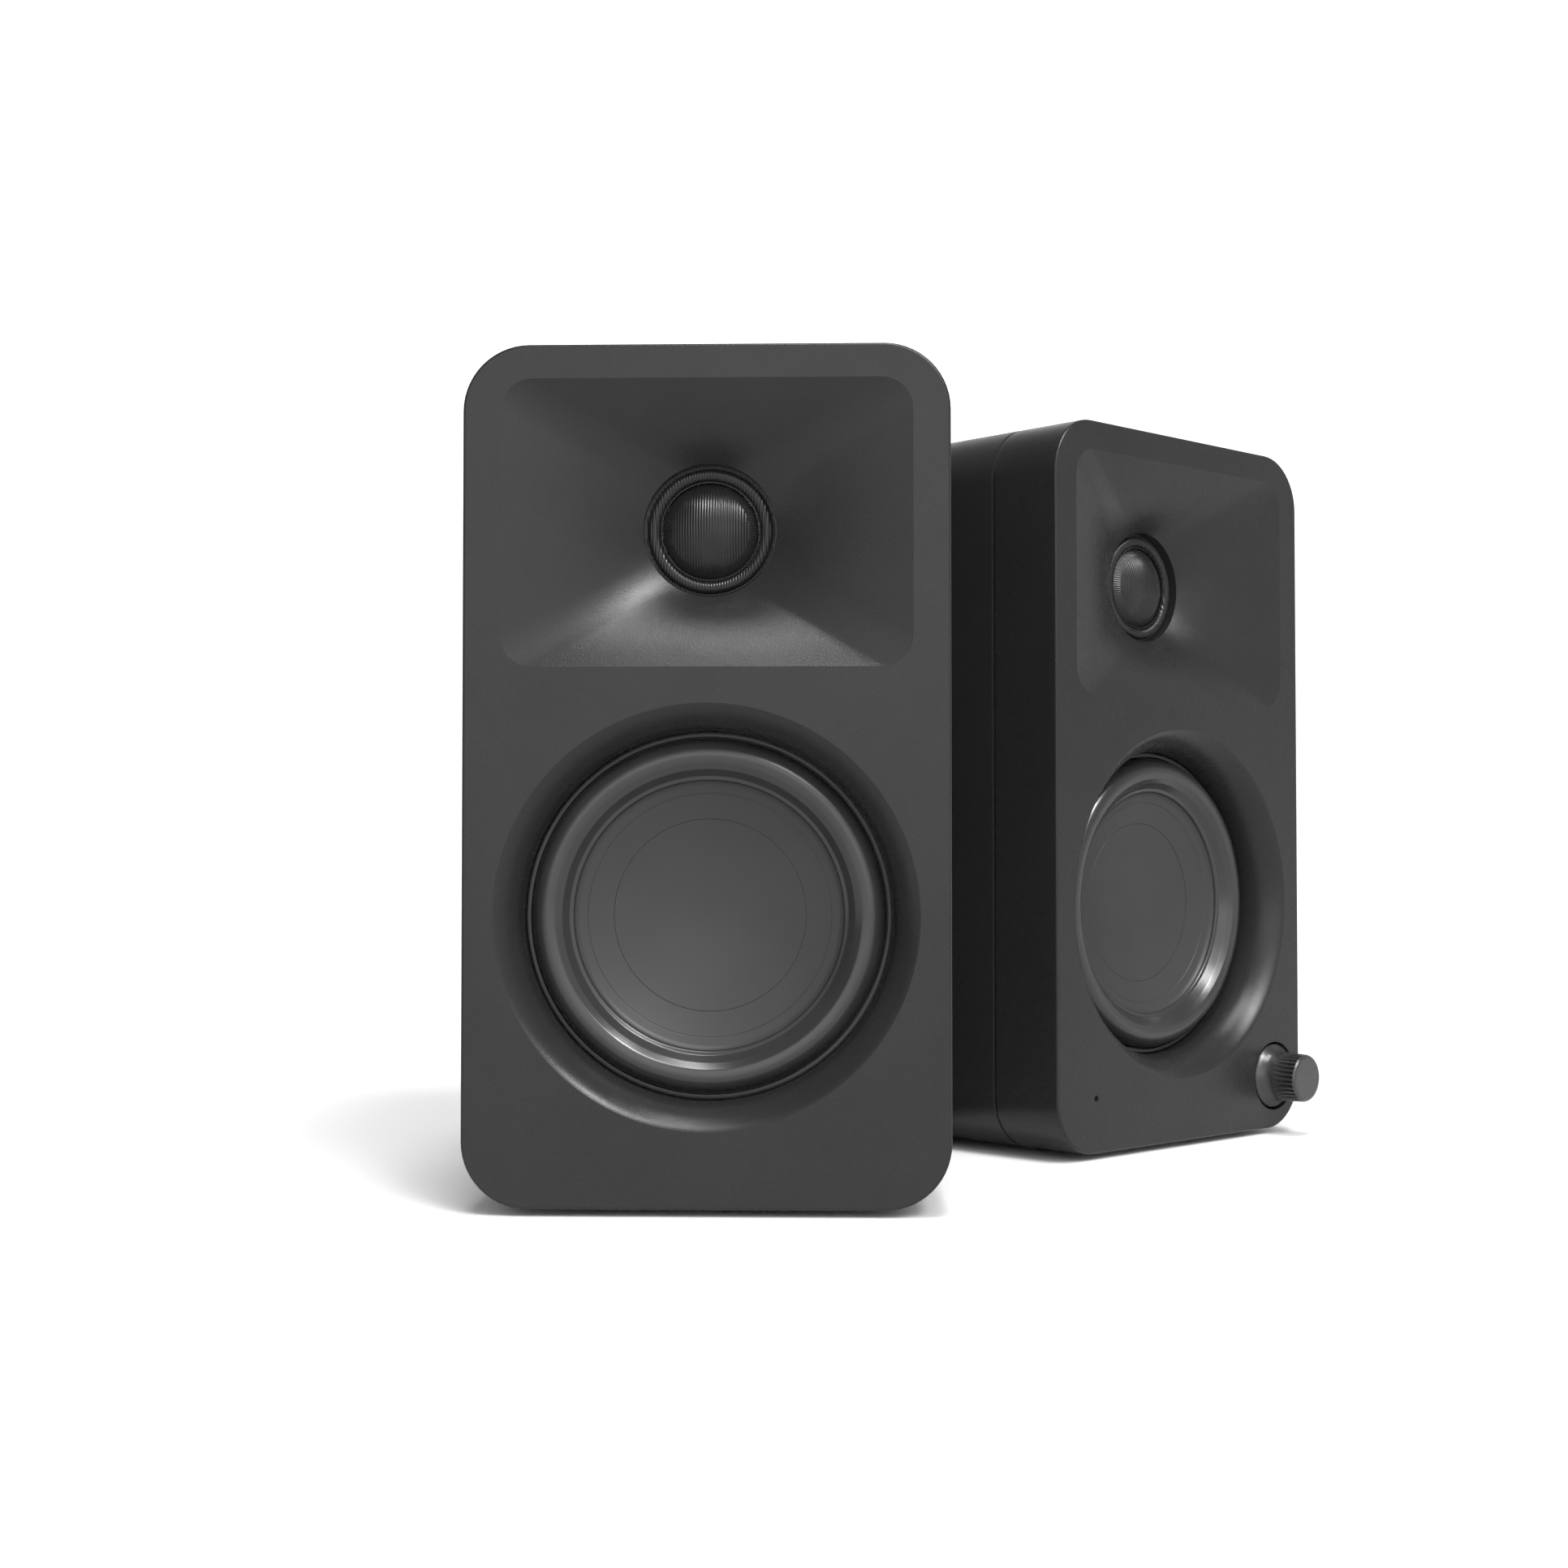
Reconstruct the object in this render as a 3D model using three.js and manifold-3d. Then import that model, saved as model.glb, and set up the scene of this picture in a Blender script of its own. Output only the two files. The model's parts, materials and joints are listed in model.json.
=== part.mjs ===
// A pair of two-way desktop speakers: a passive left one and an active right one with a volume knob.
// Millimetres, +Z up. The origin is the centre of the left speaker's base pad, on the desk.
// Each speaker is built facing -Y around its own footprint centre, then stood in its place.
import * as THREE from "three";
import { mergeVertices } from "three/addons/utils/BufferGeometryUtils.js";
import Module from "manifold-3d";

const wasm = await Module();
wasm.setup();

// ---- Driving dimensions ----
const WIDTH = 99;
const HEIGHT = 175;
const DEPTH = 106;
const CORNER = 13.5; // radius of the front outline's corners
const EDGE = 0.5; // softened edge round the front face
const REAR_ROUND = 12; // radius of the edges round the back
const WALL = 3;
const REAR_WALL = 5;
const SEAM = 19.45; // front face to the parting line between baffle and shell
const GAP = 0.3; // between pieces that touch
const PAD_HEIGHT = 1.1;
const PAD = { width: 62, length: 60 };

const RIGHT_PLACE = { x: 75, y: 93.2, turn: Math.PI / 4 };

const TWEETER_Z = 138.7 + PAD_HEIGHT;
const WOOFER_Z = 58.8 + PAD_HEIGHT;
const HORN = {
  halfWidth: 41.9, halfHeight: 29.35, corner: 6.5, depth: 12.5, throat: 13.9, wall: 2.5,
  even: 0.62, // the share of the depth that falls evenly
};
const TWEETER_BOSS = 20;
const TWEETER_SEAT = 15; // depth of the face that the tweeter is screwed to
const FLARE = { mouth: 43, bore: 38, depth: 11, seat: 13, wall: 4.5, bend: 2.8 };
const GASKET = { reach: 2.5, inset: 2 };
const TRIM = { inner: 36.9, outer: 37.7, front: 11.3 };
const BASKET_WINDOWS = { count: 6, width: 11, height: 16, depth: 8, middle: 21, radius: 30 };
// The cone and the dust cap share this bowl.
const DISH = { edge: 28, edgeDepth: 11.5, centreDepth: 17.5, capSkin: 0.6 };
const CAP_RADIUS = 20;
const ROLL = { middle: 31.5, halfWidth: 2.8, height: 4.2, base: 11.6, skin: 0.8 };

const KNOB = { x: 38.2, z: 13.4 + PAD_HEIGHT, hole: 8.7, base: 8.15, waist: 6.3, tip: 6, ribs: 32, out: 10 };
const LED = { x: -35.1, z: 13.1 + PAD_HEIGHT, hole: 0.7 };

const PORT = { z: 128 + PAD_HEIGHT, bore: 13, mouth: 18, flange: 19.4, length: 46 };
const PANEL = { z: 58 + PAD_HEIGHT, thickness: 2.2, recess: 2.5, ledge: 4 };
const ACTIVE_PANEL = { width: 60, height: 84 };
const PASSIVE_PANEL = { width: 44, height: 44 };

const SMALL = 10;
const COARSE = 12; // sides of a small turned piece
const MEDIUM = 18;
const FINE = 30;

// ---- Finishes ----
const finish = (color, roughness, metalness = 0) =>
  new THREE.MeshStandardMaterial({ color, roughness, metalness });
const FINISHES = {
  housing: finish(0x3f4042, 0.62),
  cone: finish(0x4a4b4d, 0.5),
  rubber: finish(0x202123, 0.42),
  trim: finish(0x4b4c4e, 0.4),
  textile: finish(0x151516, 0.7),
  frame: finish(0x1c1c1d, 0.55, 0.3),
  steel: finish(0x9a9a9c, 0.4, 0.9),
  ferrite: finish(0x2a2a2c, 0.8),
  copper: finish(0xa8693a, 0.4, 0.9),
  socket: finish(0x161616, 0.5),
  board: finish(0x14402a, 0.6),
  lens: finish(0xd8dce0, 0.2),
};

// ---- Solids ----
function signedVolume(positions, triangles) {
  const [a, b, c] = [0, 1, 2].map(() => new THREE.Vector3());
  let sum = 0;
  for (let i = 0; i < triangles.length; i += 3) {
    a.fromArray(positions, 3 * triangles[i]);
    b.fromArray(positions, 3 * triangles[i + 1]);
    c.fromArray(positions, 3 * triangles[i + 2]);
    sum += a.dot(b.cross(c));
  }
  return sum;
}

// A closed geometry as a solid, with its faces turned outwards.
function solid(geometry) {
  const bare = new THREE.BufferGeometry();
  bare.setAttribute("position", geometry.getAttribute("position"));
  bare.setIndex(geometry.getIndex());
  const merged = mergeVertices(bare, 1e-4);
  const index = merged.getIndex().array;
  const triangles = [];
  for (let i = 0; i < index.length; i += 3) {
    const [a, b, c] = index.subarray(i, i + 3);
    if (a !== b && b !== c && c !== a) triangles.push(a, b, c);
  }
  const positions = merged.getAttribute("position").array;
  if (signedVolume(positions, triangles) < 0) triangles.reverse();
  const triVerts = new Uint32Array(triangles);
  return new wasm.Manifold(new wasm.Mesh({ numProp: 3, vertProperties: positions, triVerts }));
}

function piece(name, shape, material) {
  const mesh = shape.getMesh();
  const geometry = new THREE.BufferGeometry();
  geometry.setAttribute("position", new THREE.BufferAttribute(mesh.vertProperties, 3));
  geometry.setIndex(new THREE.BufferAttribute(mesh.triVerts, 1));
  geometry.computeVertexNormals();
  const made = new THREE.Mesh(geometry, FINISHES[material]);
  made.name = name;
  return made;
}

// Turned about the depth axis from [radius, depth] points.
function turned(profile, sides) {
  const points = profile.map(([radius, depth]) => new THREE.Vector2(radius, depth));
  if (profile[0][0] > 0) points.push(points[0].clone());
  return solid(new THREE.LatheGeometry(points, sides));
}

const tube = (inner, outer, front, rear, sides) =>
  turned([[inner, front], [outer, front], [outer, rear], [inner, rear]], sides);

const rod = (radius, front, rear, sides) =>
  turned([[0, front], [radius, front], [radius, rear], [0, rear]], sides);

// A skin through equal-count rings of [x, z] points, each at its own depth, closed by a cap at each end.
function loft(rings) {
  const count = rings[0].outline.length;
  const positions = rings.flatMap(({ outline, depth }) => outline.flatMap(([x, z]) => [x, depth, z]));
  const triangles = [];
  for (let ring = 0; ring + 1 < rings.length; ring++) {
    for (let i = 0; i < count; i++) {
      const here = ring * count + i;
      const next = ring * count + ((i + 1) % count);
      triangles.push(here, next, here + count, next, next + count, here + count);
    }
  }
  for (const [ring, front] of [[0, true], [rings.length - 1, false]]) {
    const { outline, depth } = rings[ring];
    const centre = positions.length / 3;
    const mean = [0, 1].map((axis) => outline.reduce((sum, point) => sum + point[axis], 0) / count);
    positions.push(mean[0], depth, mean[1]);
    for (let i = 0; i < count; i++) {
      const here = ring * count + i;
      const next = ring * count + ((i + 1) % count);
      triangles.push(...(front ? [centre, next, here] : [centre, here, next]));
    }
  }
  const geometry = new THREE.BufferGeometry();
  geometry.setAttribute("position", new THREE.Float32BufferAttribute(positions, 3));
  geometry.setIndex(triangles);
  return solid(geometry);
}

// A rounded rectangle round (0, centreZ): each corner is an arc, and each side has extra points to bend with.
function roundedRectangle(halfWidth, halfHeight, corner, centreZ, cornerSteps = 5, sideSteps = 1) {
  const points = [];
  const signs = [[1, 1], [-1, 1], [-1, -1], [1, -1]];
  signs.forEach(([signX, signZ], quarter) => {
    const start = (quarter * Math.PI) / 2;
    for (let i = 0; i <= cornerSteps; i++) {
      const angle = start + (i / cornerSteps) * (Math.PI / 2);
      const x = signX * (halfWidth - corner) + corner * Math.cos(angle);
      const z = signZ * (halfHeight - corner) + corner * Math.sin(angle);
      points.push([x, centreZ + z]);
    }
    const [x0, z0] = points[points.length - 1];
    const alongX = quarter % 2 === 0;
    for (let i = 1; i < sideSteps; i++) {
      const share = 1 - (2 * i) / sideSteps;
      points.push(alongX ? [x0 * share, z0] : [x0, centreZ + (z0 - centreZ) * share]);
    }
  });
  return points;
}

const block = (width, depth, height, x, y, z) =>
  solid(new THREE.BoxGeometry(width, depth, height).translate(x, y, z));

const MIDDLE_Z = PAD_HEIGHT + HEIGHT / 2;
const housingOutline = (inset) =>
  roundedRectangle(WIDTH / 2 - inset, HEIGHT / 2 - inset, CORNER - inset, MIDDLE_Z);

// ---- Front baffle with the waveguide and the woofer's flare moulded in ----
const HORN_SIDE_STEPS = 4;
const HORN_CORNER_STEPS = 3;

// Share 0 is the waveguide's mouth and share 1 its round throat. The wall steepens inwards.
function hornRing(share, grow, extraDepth) {
  const mouth = roundedRectangle(
    HORN.halfWidth + grow, HORN.halfHeight + grow, HORN.corner + grow, TWEETER_Z,
    HORN_CORNER_STEPS, HORN_SIDE_STEPS);
  const count = mouth.length;
  const perQuarter = count / 4;
  const outline = mouth.map(([x, z], i) => {
    const quarterTurns = (i - HORN_CORNER_STEPS / 2) / perQuarter + 0.5;
    const angle = quarterTurns * (Math.PI / 2);
    const throatX = (HORN.throat + grow) * Math.cos(angle);
    const throatZ = TWEETER_Z + (HORN.throat + grow) * Math.sin(angle);
    return [x + (throatX - x) * share, z + (throatZ - z) * share];
  });
  const depth = HORN.depth * (HORN.even * share + (1 - HORN.even) * share ** 3) + extraDepth;
  return { outline, depth };
}

function hornSpace() {
  const mouth = hornRing(0, 0, 0);
  const throat = hornRing(1, 0, 0);
  const inner = [0.35, 0.65, 0.88].map((share) => hornRing(share, 0, 0));
  return loft([
    { outline: mouth.outline, depth: -1 }, mouth, ...inner, throat,
    { outline: throat.outline, depth: SEAM },
  ]);
}

const flareRadius = (depth) =>
  FLARE.bore + (FLARE.mouth - FLARE.bore) * (1 - depth / FLARE.depth) ** FLARE.bend;

function flareSpace() {
  const depths = [0, 1, 2.5, 5, FLARE.depth];
  const curve = depths.map((depth) => [flareRadius(depth), depth]);
  return turned([[0, -1], [FLARE.mouth, -1], ...curve, [FLARE.bore, SEAM], [0, SEAM]], FINE)
    .translate([0, 0, WOOFER_Z]);
}

function frontBaffle(active) {
  const rear = SEAM - GAP / 2;
  const body = loft([
    { outline: housingOutline(EDGE), depth: 0 },
    { outline: housingOutline(0), depth: EDGE },
    { outline: housingOutline(0), depth: rear },
  ]);
  const hornWall = loft([0, 0.5, 1].map((share) => hornRing(share, HORN.wall, HORN.wall)));
  const tweeterBoss = rod(TWEETER_BOSS, WALL, TWEETER_SEAT, MEDIUM).translate([0, 0, TWEETER_Z]);
  const seatEdge = FLARE.bore + FLARE.wall;
  const flareWall = turned([[0, 1], [FLARE.mouth + WALL, 1], [seatEdge, 8], [seatEdge, FLARE.seat],
    [0, FLARE.seat]], MEDIUM).translate([0, 0, WOOFER_Z]);
  const hollow = loft([WALL, SEAM + 1].map((depth) => ({ outline: housingOutline(WALL), depth })))
    .subtract(hornWall).subtract(tweeterBoss).subtract(flareWall);
  let baffle = body.subtract(hollow).subtract(hornSpace()).subtract(flareSpace());
  if (active) {
    baffle = baffle.subtract(rod(KNOB.hole, -1, WALL + 1, MEDIUM).translate([KNOB.x, 0, KNOB.z]));
    baffle = baffle.subtract(rod(LED.hole, -1, WALL + 1, COARSE).translate([LED.x, 0, LED.z]));
  }
  return baffle;
}

// ---- Rear shell, its gasket and the base pad ----
const panelSize = (active) => (active ? ACTIVE_PANEL : PASSIVE_PANEL);

function roundedBack(inset, rear, radius, front) {
  const steps = inset ? 2 : 4;
  const rings = [{ outline: housingOutline(inset), depth: front }];
  for (let i = 0; i <= steps; i++) {
    const angle = (i / steps) * (Math.PI / 2);
    const further = radius * (1 - Math.cos(angle));
    const depth = rear - radius + radius * Math.sin(angle);
    rings.push({ outline: housingOutline(inset + further), depth });
  }
  return loft(rings);
}

function rearShell(active) {
  const { width, height } = panelSize(active);
  const outside = roundedBack(0, DEPTH, REAR_ROUND, SEAM + GAP / 2);
  const inside = roundedBack(WALL, DEPTH - REAR_WALL, REAR_ROUND - REAR_WALL, SEAM - 1);
  const portHole = rod(PORT.flange + GAP, DEPTH - REAR_WALL - 1, DEPTH + 1, MEDIUM)
    .translate([0, 0, PORT.z]);
  const panelSeat = block(width + 2 * GAP, 2 * PANEL.recess, height + 2 * GAP, 0, DEPTH, PANEL.z);
  const opening = block(width - 2 * PANEL.ledge, 4 * REAR_WALL, height - 2 * PANEL.ledge, 0, DEPTH, PANEL.z);
  return outside.subtract(inside).subtract(portHole).subtract(panelSeat).subtract(opening);
}

function cabinetGasket() {
  const [front, rear] = [SEAM - GASKET.reach, SEAM + GASKET.reach];
  const outer = loft([front, rear].map((depth) => ({ outline: housingOutline(WALL + GAP), depth })));
  const inside = housingOutline(WALL + GASKET.inset);
  const inner = loft([front - 1, rear + 1].map((depth) => ({ outline: inside, depth })));
  return outer.subtract(inner);
}

function basePad() {
  const height = PAD_HEIGHT - GAP;
  return block(PAD.width, PAD.length, height, 0, DEPTH / 2, height / 2);
}

// ---- Woofer: [radius, depth] behind the front face ----
const dishDepth = (radius) =>
  DISH.centreDepth - (DISH.centreDepth - DISH.edgeDepth) * (radius / DISH.edge) ** 2;

const COIL = { inner: 9.75, former: 10.1, winding: 10.5, front: 18.5, rear: 35 };
const SPIDER = { inner: 10.5, outer: 25.2, depth: 24, wave: 0.5, skin: 0.7 };
const MOTOR = {
  radius: 24, plate: 31.3, magnet: 34.6, yoke: 42.9, end: 46, gap: 10.9, pole: 9.4, magnetBore: 14,
};

function trimRing() {
  return tube(TRIM.inner, TRIM.outer, TRIM.front, FLARE.seat, FINE);
}

function basket() {
  const shell = turned([
    [30.5, 13.3], [42, 13.3], [42, 15.3], [33, 15.3], [27.3, 26.8], [24.5, 27.2], [24.5, 31],
    [11.6, 31], [11.6, 29.4], [22.6, 29.4], [22.6, 25.5], [25.8, 25.5], [30.5, 15],
  ], MEDIUM);
  const { count, width, height, depth, middle, radius } = BASKET_WINDOWS;
  const cuts = Array.from({ length: count }, (_, i) =>
    block(width, depth, height, 0, middle, radius).rotate([0, (360 * i) / count, 0]));
  return cuts.reduce((left, cut) => left.subtract(cut), shell);
}

function surround() {
  const steps = 5;
  const arc = (shrink) => Array.from({ length: steps + 1 }, (_, i) => {
    const angle = (i / steps) * Math.PI;
    const across = (ROLL.halfWidth - shrink) * Math.cos(angle);
    return [ROLL.middle + across, ROLL.base - (ROLL.height - shrink) * Math.sin(angle)];
  });
  const skin = [...arc(0), ...arc(ROLL.skin).reverse()];
  return turned([[36.6, 12.2], [34.5, 12.2], ...skin, [34.1, 13], [36.6, 13]], FINE);
}

function cone() {
  const lip = [[28.2, 11.4], [27.7, 10.9], [27.1, dishDepth(27.1)]];
  const bowl = [24, 20.3].map((radius) => [radius, dishDepth(radius)]);
  const back = [[20.3, 15.5], [10.5, 20.6], [10.5, 21.6], [20.6, 16.3], [28.2, 12.3]];
  return turned([...lip, ...bowl, ...back], FINE);
}

function dustCap() {
  const radii = [0, 8, 14, CAP_RADIUS];
  const front = radii.map((radius) => [radius, dishDepth(radius)]);
  const rear = radii.map((radius) => [radius, dishDepth(radius) + DISH.capSkin]).reverse();
  return turned([...front, ...rear], MEDIUM);
}

function voiceCoil() {
  return turned([[COIL.inner, COIL.front], [COIL.former, COIL.front], [COIL.former, 28], [COIL.winding, 28],
    [COIL.winding, COIL.rear], [COIL.inner, COIL.rear]], COARSE);
}

function spider() {
  const waves = [[SPIDER.inner, 0], [13.5, 0], [15.5, 1], [17.5, 0], [19.5, 1], [21.5, 0], [SPIDER.outer, 0]];
  const front = waves.map(([radius, wave]) => [radius, SPIDER.depth + wave * SPIDER.wave]);
  const rear = front.map(([radius, depth]) => [radius, depth + SPIDER.skin]).reverse();
  return turned([...front, ...rear], COARSE);
}

const topPlate = () => tube(MOTOR.gap, MOTOR.radius, MOTOR.plate, MOTOR.magnet - GAP, MEDIUM);
const magnetRing = () => tube(MOTOR.magnetBore, MOTOR.radius, MOTOR.magnet, MOTOR.yoke - GAP, MEDIUM);

function yoke() {
  return turned([
    [0, MOTOR.plate], [MOTOR.pole, MOTOR.plate], [MOTOR.pole, MOTOR.yoke], [MOTOR.radius, MOTOR.yoke],
    [MOTOR.radius, MOTOR.end], [0, MOTOR.end]], MEDIUM);
}

// ---- Tweeter: [radius, depth] behind the front face ----
const DOME = { radius: 10, rim: 14.9, apex: 10.7, skin: 0.5 };

function domeDepth(radius, rim, height) {
  const sphere = (DOME.radius ** 2 + height ** 2) / (2 * height);
  return rim - height + sphere - Math.sqrt(sphere ** 2 - radius ** 2);
}

function tweeterDome() {
  const height = DOME.rim - DOME.apex;
  const radii = [0, 4, 7.5, DOME.radius];
  const front = radii.map((radius) => [radius, domeDepth(radius, DOME.rim, height)]);
  const rear = radii.map((radius) => [radius, domeDepth(radius, DOME.rim, height) + DOME.skin]).reverse();
  return turned([...front, ...rear], MEDIUM);
}

function tweeterSurround() {
  return turned([[10.3, 14.4], [10.8, 14], [11.6, 13.5], [12.4, 14], [12.8, 14.4], [13.5, 14.4], [13.5, 15],
    [10.3, 15]], MEDIUM);
}

const tweeterFrame = () => tube(10.4, 19, TWEETER_SEAT + GAP, 17.1, MEDIUM);
const tweeterCoil = () => tube(9.3, 9.9, 15.7, 20.3, COARSE);

function tweeterMotor() {
  const coilSlot = [[8.9, 17.4], [8.9, 22], [10.3, 22], [10.3, 17.4]];
  return turned([[0, 17.4], ...coilSlot, [16, 17.4], [16, 29], [0, 29]], MEDIUM);
}

// ---- Bass port through the back ----
function portTube() {
  const inner = DEPTH - PORT.length;
  return turned([
    [PORT.mouth, DEPTH], [14.9, DEPTH - 2.5], [13.4, DEPTH - 6], [PORT.bore, DEPTH - 10],
    [PORT.bore, inner + 4],
    [15, inner], [17, inner], [15.2, inner + 4.5], [15.2, DEPTH - 7], [PORT.flange, DEPTH - 3.5],
    [PORT.flange, DEPTH],
  ], MEDIUM);
}

// ---- Rear panels and sockets: depth 0 is the back face, and minus is inside ----
const POSTS = { x: 21, z: 33, radius: 2.4, end: 19 };
const LINK = { x: 12.5, z: -29 };
const INLET = { x: -12.5, z: -29 };
const SUB_OUT = { x: 17, z: -8 };
const CROSSOVER = { x: -15, z: -8, travel: 4 };
const AUDIO_JACKS = [{ side: "left", x: -17, z: 12 }, { side: "right", x: -3, z: 12 }];
const USB = { x: 17, z: 12 };
const BARREL = { width: 9.4, height: 10.4, well: 2.8, pin: 1 };
const PHONO = { radius: 4.1, flange: 5.2, bore: 1.7, out: 7 };
const BOARD_THICKNESS = 1.6;
const SINK = { width: 46, height: 50, base: 3, fins: 6, pitch: 8, fin: 2, finDepth: 12 };

const across = (width, height, place) => block(width, 12, height, place.x, 0, place.z);
const bore = (radius, place) => rod(radius, -6, 6, COARSE).translate([place.x, 0, place.z]);

function rearPanel(active) {
  const { width, height } = panelSize(active);
  const { thickness } = PANEL;
  const plate = loft([-thickness, 0].map((depth) => ({
    outline: roundedRectangle(width / 2, height / 2, 2, 0, 2), depth,
  })));
  if (!active) return plate.subtract(across(BARREL.width, BARREL.height, { x: 0, z: 0 }));
  const holes = [
    across(BARREL.width, BARREL.height, LINK), across(BARREL.width, BARREL.height, INLET),
    across(10.2, 4.4, USB), across(8, 3, CROSSOVER),
    ...[SUB_OUT, ...AUDIO_JACKS].map((place) => bore(PHONO.radius + GAP, place)),
  ];
  const panel = holes.reduce((left, hole) => left.subtract(hole), plate);
  const corners = [[1, 1], [-1, 1], [-1, -1], [1, -1]];
  return corners.reduce((whole, [signX, signZ]) => whole.add(
    rod(POSTS.radius, -POSTS.end, -1, SMALL).translate([signX * POSTS.x, 0, signZ * POSTS.z])), panel);
}

// A square housing with a round well and a centre pin.
function barrelSocket({ x, z }) {
  const housing = block(BARREL.width - 2 * GAP, 12, BARREL.height - 2 * GAP, 0, -6, 0);
  const well = tube(BARREL.pin, BARREL.well, -9, 1, COARSE);
  return housing.subtract(well).translate([x, 0, z]);
}

function phonoJack({ x, z }) {
  const { radius, flange, bore: hole, out } = PHONO;
  return turned([[0, -9], [radius, -9], [radius, GAP], [flange, GAP], [flange, 1.3], [radius, 1.3],
    [radius, out], [hole, out], [hole, -2], [0, -2]], SMALL).translate([x, 0, z]);
}

function usbSocket({ x, z }) {
  const stadium = (width, height, front, rear) => loft([front, rear].map((depth) => ({
    outline: roundedRectangle(width / 2, height / 2, height / 2 - 0.05, 0, 3), depth,
  })));
  const shell = stadium(9.4, 3.6, -8, 0).subtract(stadium(8.6, 2.8, -7, 1));
  return shell.add(block(6.6, 6.5, 0.7, 0, -4, 0)).translate([x, 0, z]);
}

function crossoverSwitch({ x, z }) {
  const body = block(14, 5, 7, 0, -PANEL.thickness - GAP - 2.5, 0);
  return body.subtract(block(8.6, 6, 2.8, 0, -PANEL.thickness, 0)).translate([x, 0, z]);
}

function crossoverSlider({ x, z, travel }) {
  const tab = block(3, 5.2, 2.2, -travel / 2, 1.2 - 2.6, 0);
  return tab.translate([x, 0, z]);
}

function amplifierBoard() {
  return block(56, BOARD_THICKNESS, 76, 0, -POSTS.end - GAP - BOARD_THICKNESS / 2, 0);
}

function heatSink() {
  const { width, height, base: plate, fins, pitch, fin, finDepth } = SINK;
  const front = POSTS.end + 2 * GAP + BOARD_THICKNESS;
  const start = (-pitch * (fins - 1)) / 2;
  const base = block(width, plate, height, 0, -front - plate / 2, 0);
  const blades = Array.from({ length: fins }, (_, i) =>
    block(fin, finDepth, height, start + i * pitch, -front - plate - finDepth / 2 + 1.2, 0));
  return blades.reduce((whole, blade) => whole.add(blade), base);
}

// ---- Volume control on the active speaker: depth behind the front face ----
function volumeKnob() {
  const ring = (depth, radius, groove) => ({
    depth,
    outline: Array.from({ length: 2 * KNOB.ribs }, (_, i) => {
      const angle = (i / KNOB.ribs) * Math.PI;
      const reach = radius - (i % 2) * groove;
      return [reach * Math.cos(angle), reach * Math.sin(angle)];
    }),
  });
  const body = loft([
    ring(1.2, KNOB.base, 0), ring(0, KNOB.base - 0.15, 0), ring(-1.5, 7.1, 0), ring(-3.5, KNOB.waist, 0.02),
    ring(-KNOB.out + 0.5, KNOB.tip, 0.5), ring(-KNOB.out, KNOB.tip - 0.4, 0.1),
  ]);
  return body.subtract(rod(3, -6, 2, COARSE));
}

const encoderShaft = () => rod(2.7, -5.7, 9, COARSE);
const encoderRotor = () => tube(3, 4.7, 6.3, 9.2, COARSE);

function encoderBody() {
  const housing = block(11, 5.3, 11, 0, 6.85, 0).add(rod(4.4, 2.6, 5, COARSE));
  return housing.subtract(rod(3, 2, 10, COARSE)).subtract(rod(5, 6, 10, COARSE));
}

const controlBoard = () => block(17.5, BOARD_THICKNESS, 14.5, -3.5, 10.6, 1.4);

function ledLens() {
  const stem = LED.hole - 0.15;
  const foot = WALL + GAP;
  return turned([[0, 0.3], [stem, 0.3], [stem, foot], [2, foot], [2, 5], [0, 5]], COARSE);
}

// ---- Assembly ----
function group(x, y, z, ...children) {
  const made = new THREE.Group();
  made.position.set(x, y, z);
  made.add(...children);
  return made;
}

function speaker(side, active) {
  const named = (name, shape, material) => piece(`${side}_${name}`, shape, material);
  const front = -DEPTH / 2;
  const housing = group(0, front, 0,
    named("front_baffle", frontBaffle(active), "housing"),
    named("rear_shell", rearShell(active), "housing"),
    named("cabinet_gasket", cabinetGasket(), "rubber"),
    named("base_pad", basePad(), "rubber"));
  const woofer = group(0, front, WOOFER_Z,
    named("woofer_trim_ring", trimRing(), "trim"),
    named("woofer_basket", basket(), "frame"),
    named("woofer_surround", surround(), "rubber"),
    named("woofer_cone", cone(), "cone"),
    named("woofer_dust_cap", dustCap(), "cone"),
    named("woofer_voice_coil", voiceCoil(), "copper"),
    named("woofer_spider", spider(), "textile"),
    named("woofer_top_plate", topPlate(), "steel"),
    named("woofer_magnet", magnetRing(), "ferrite"),
    named("woofer_yoke", yoke(), "steel"));
  const tweeter = group(0, front, TWEETER_Z,
    named("tweeter_frame", tweeterFrame(), "frame"),
    named("tweeter_surround", tweeterSurround(), "textile"),
    named("tweeter_dome", tweeterDome(), "textile"),
    named("tweeter_voice_coil", tweeterCoil(), "copper"),
    named("tweeter_motor", tweeterMotor(), "steel"));
  const port = group(0, front, PORT.z, named("port_tube", portTube(), "housing"));
  const back = group(0, -front, PANEL.z,
    named("rear_panel", rearPanel(active), "socket"),
    named("link_socket", barrelSocket(active ? LINK : { x: 0, z: 0 }), "socket"));
  const whole = new THREE.Group();
  whole.add(housing, woofer, tweeter, port, back);
  return whole;
}

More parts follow.
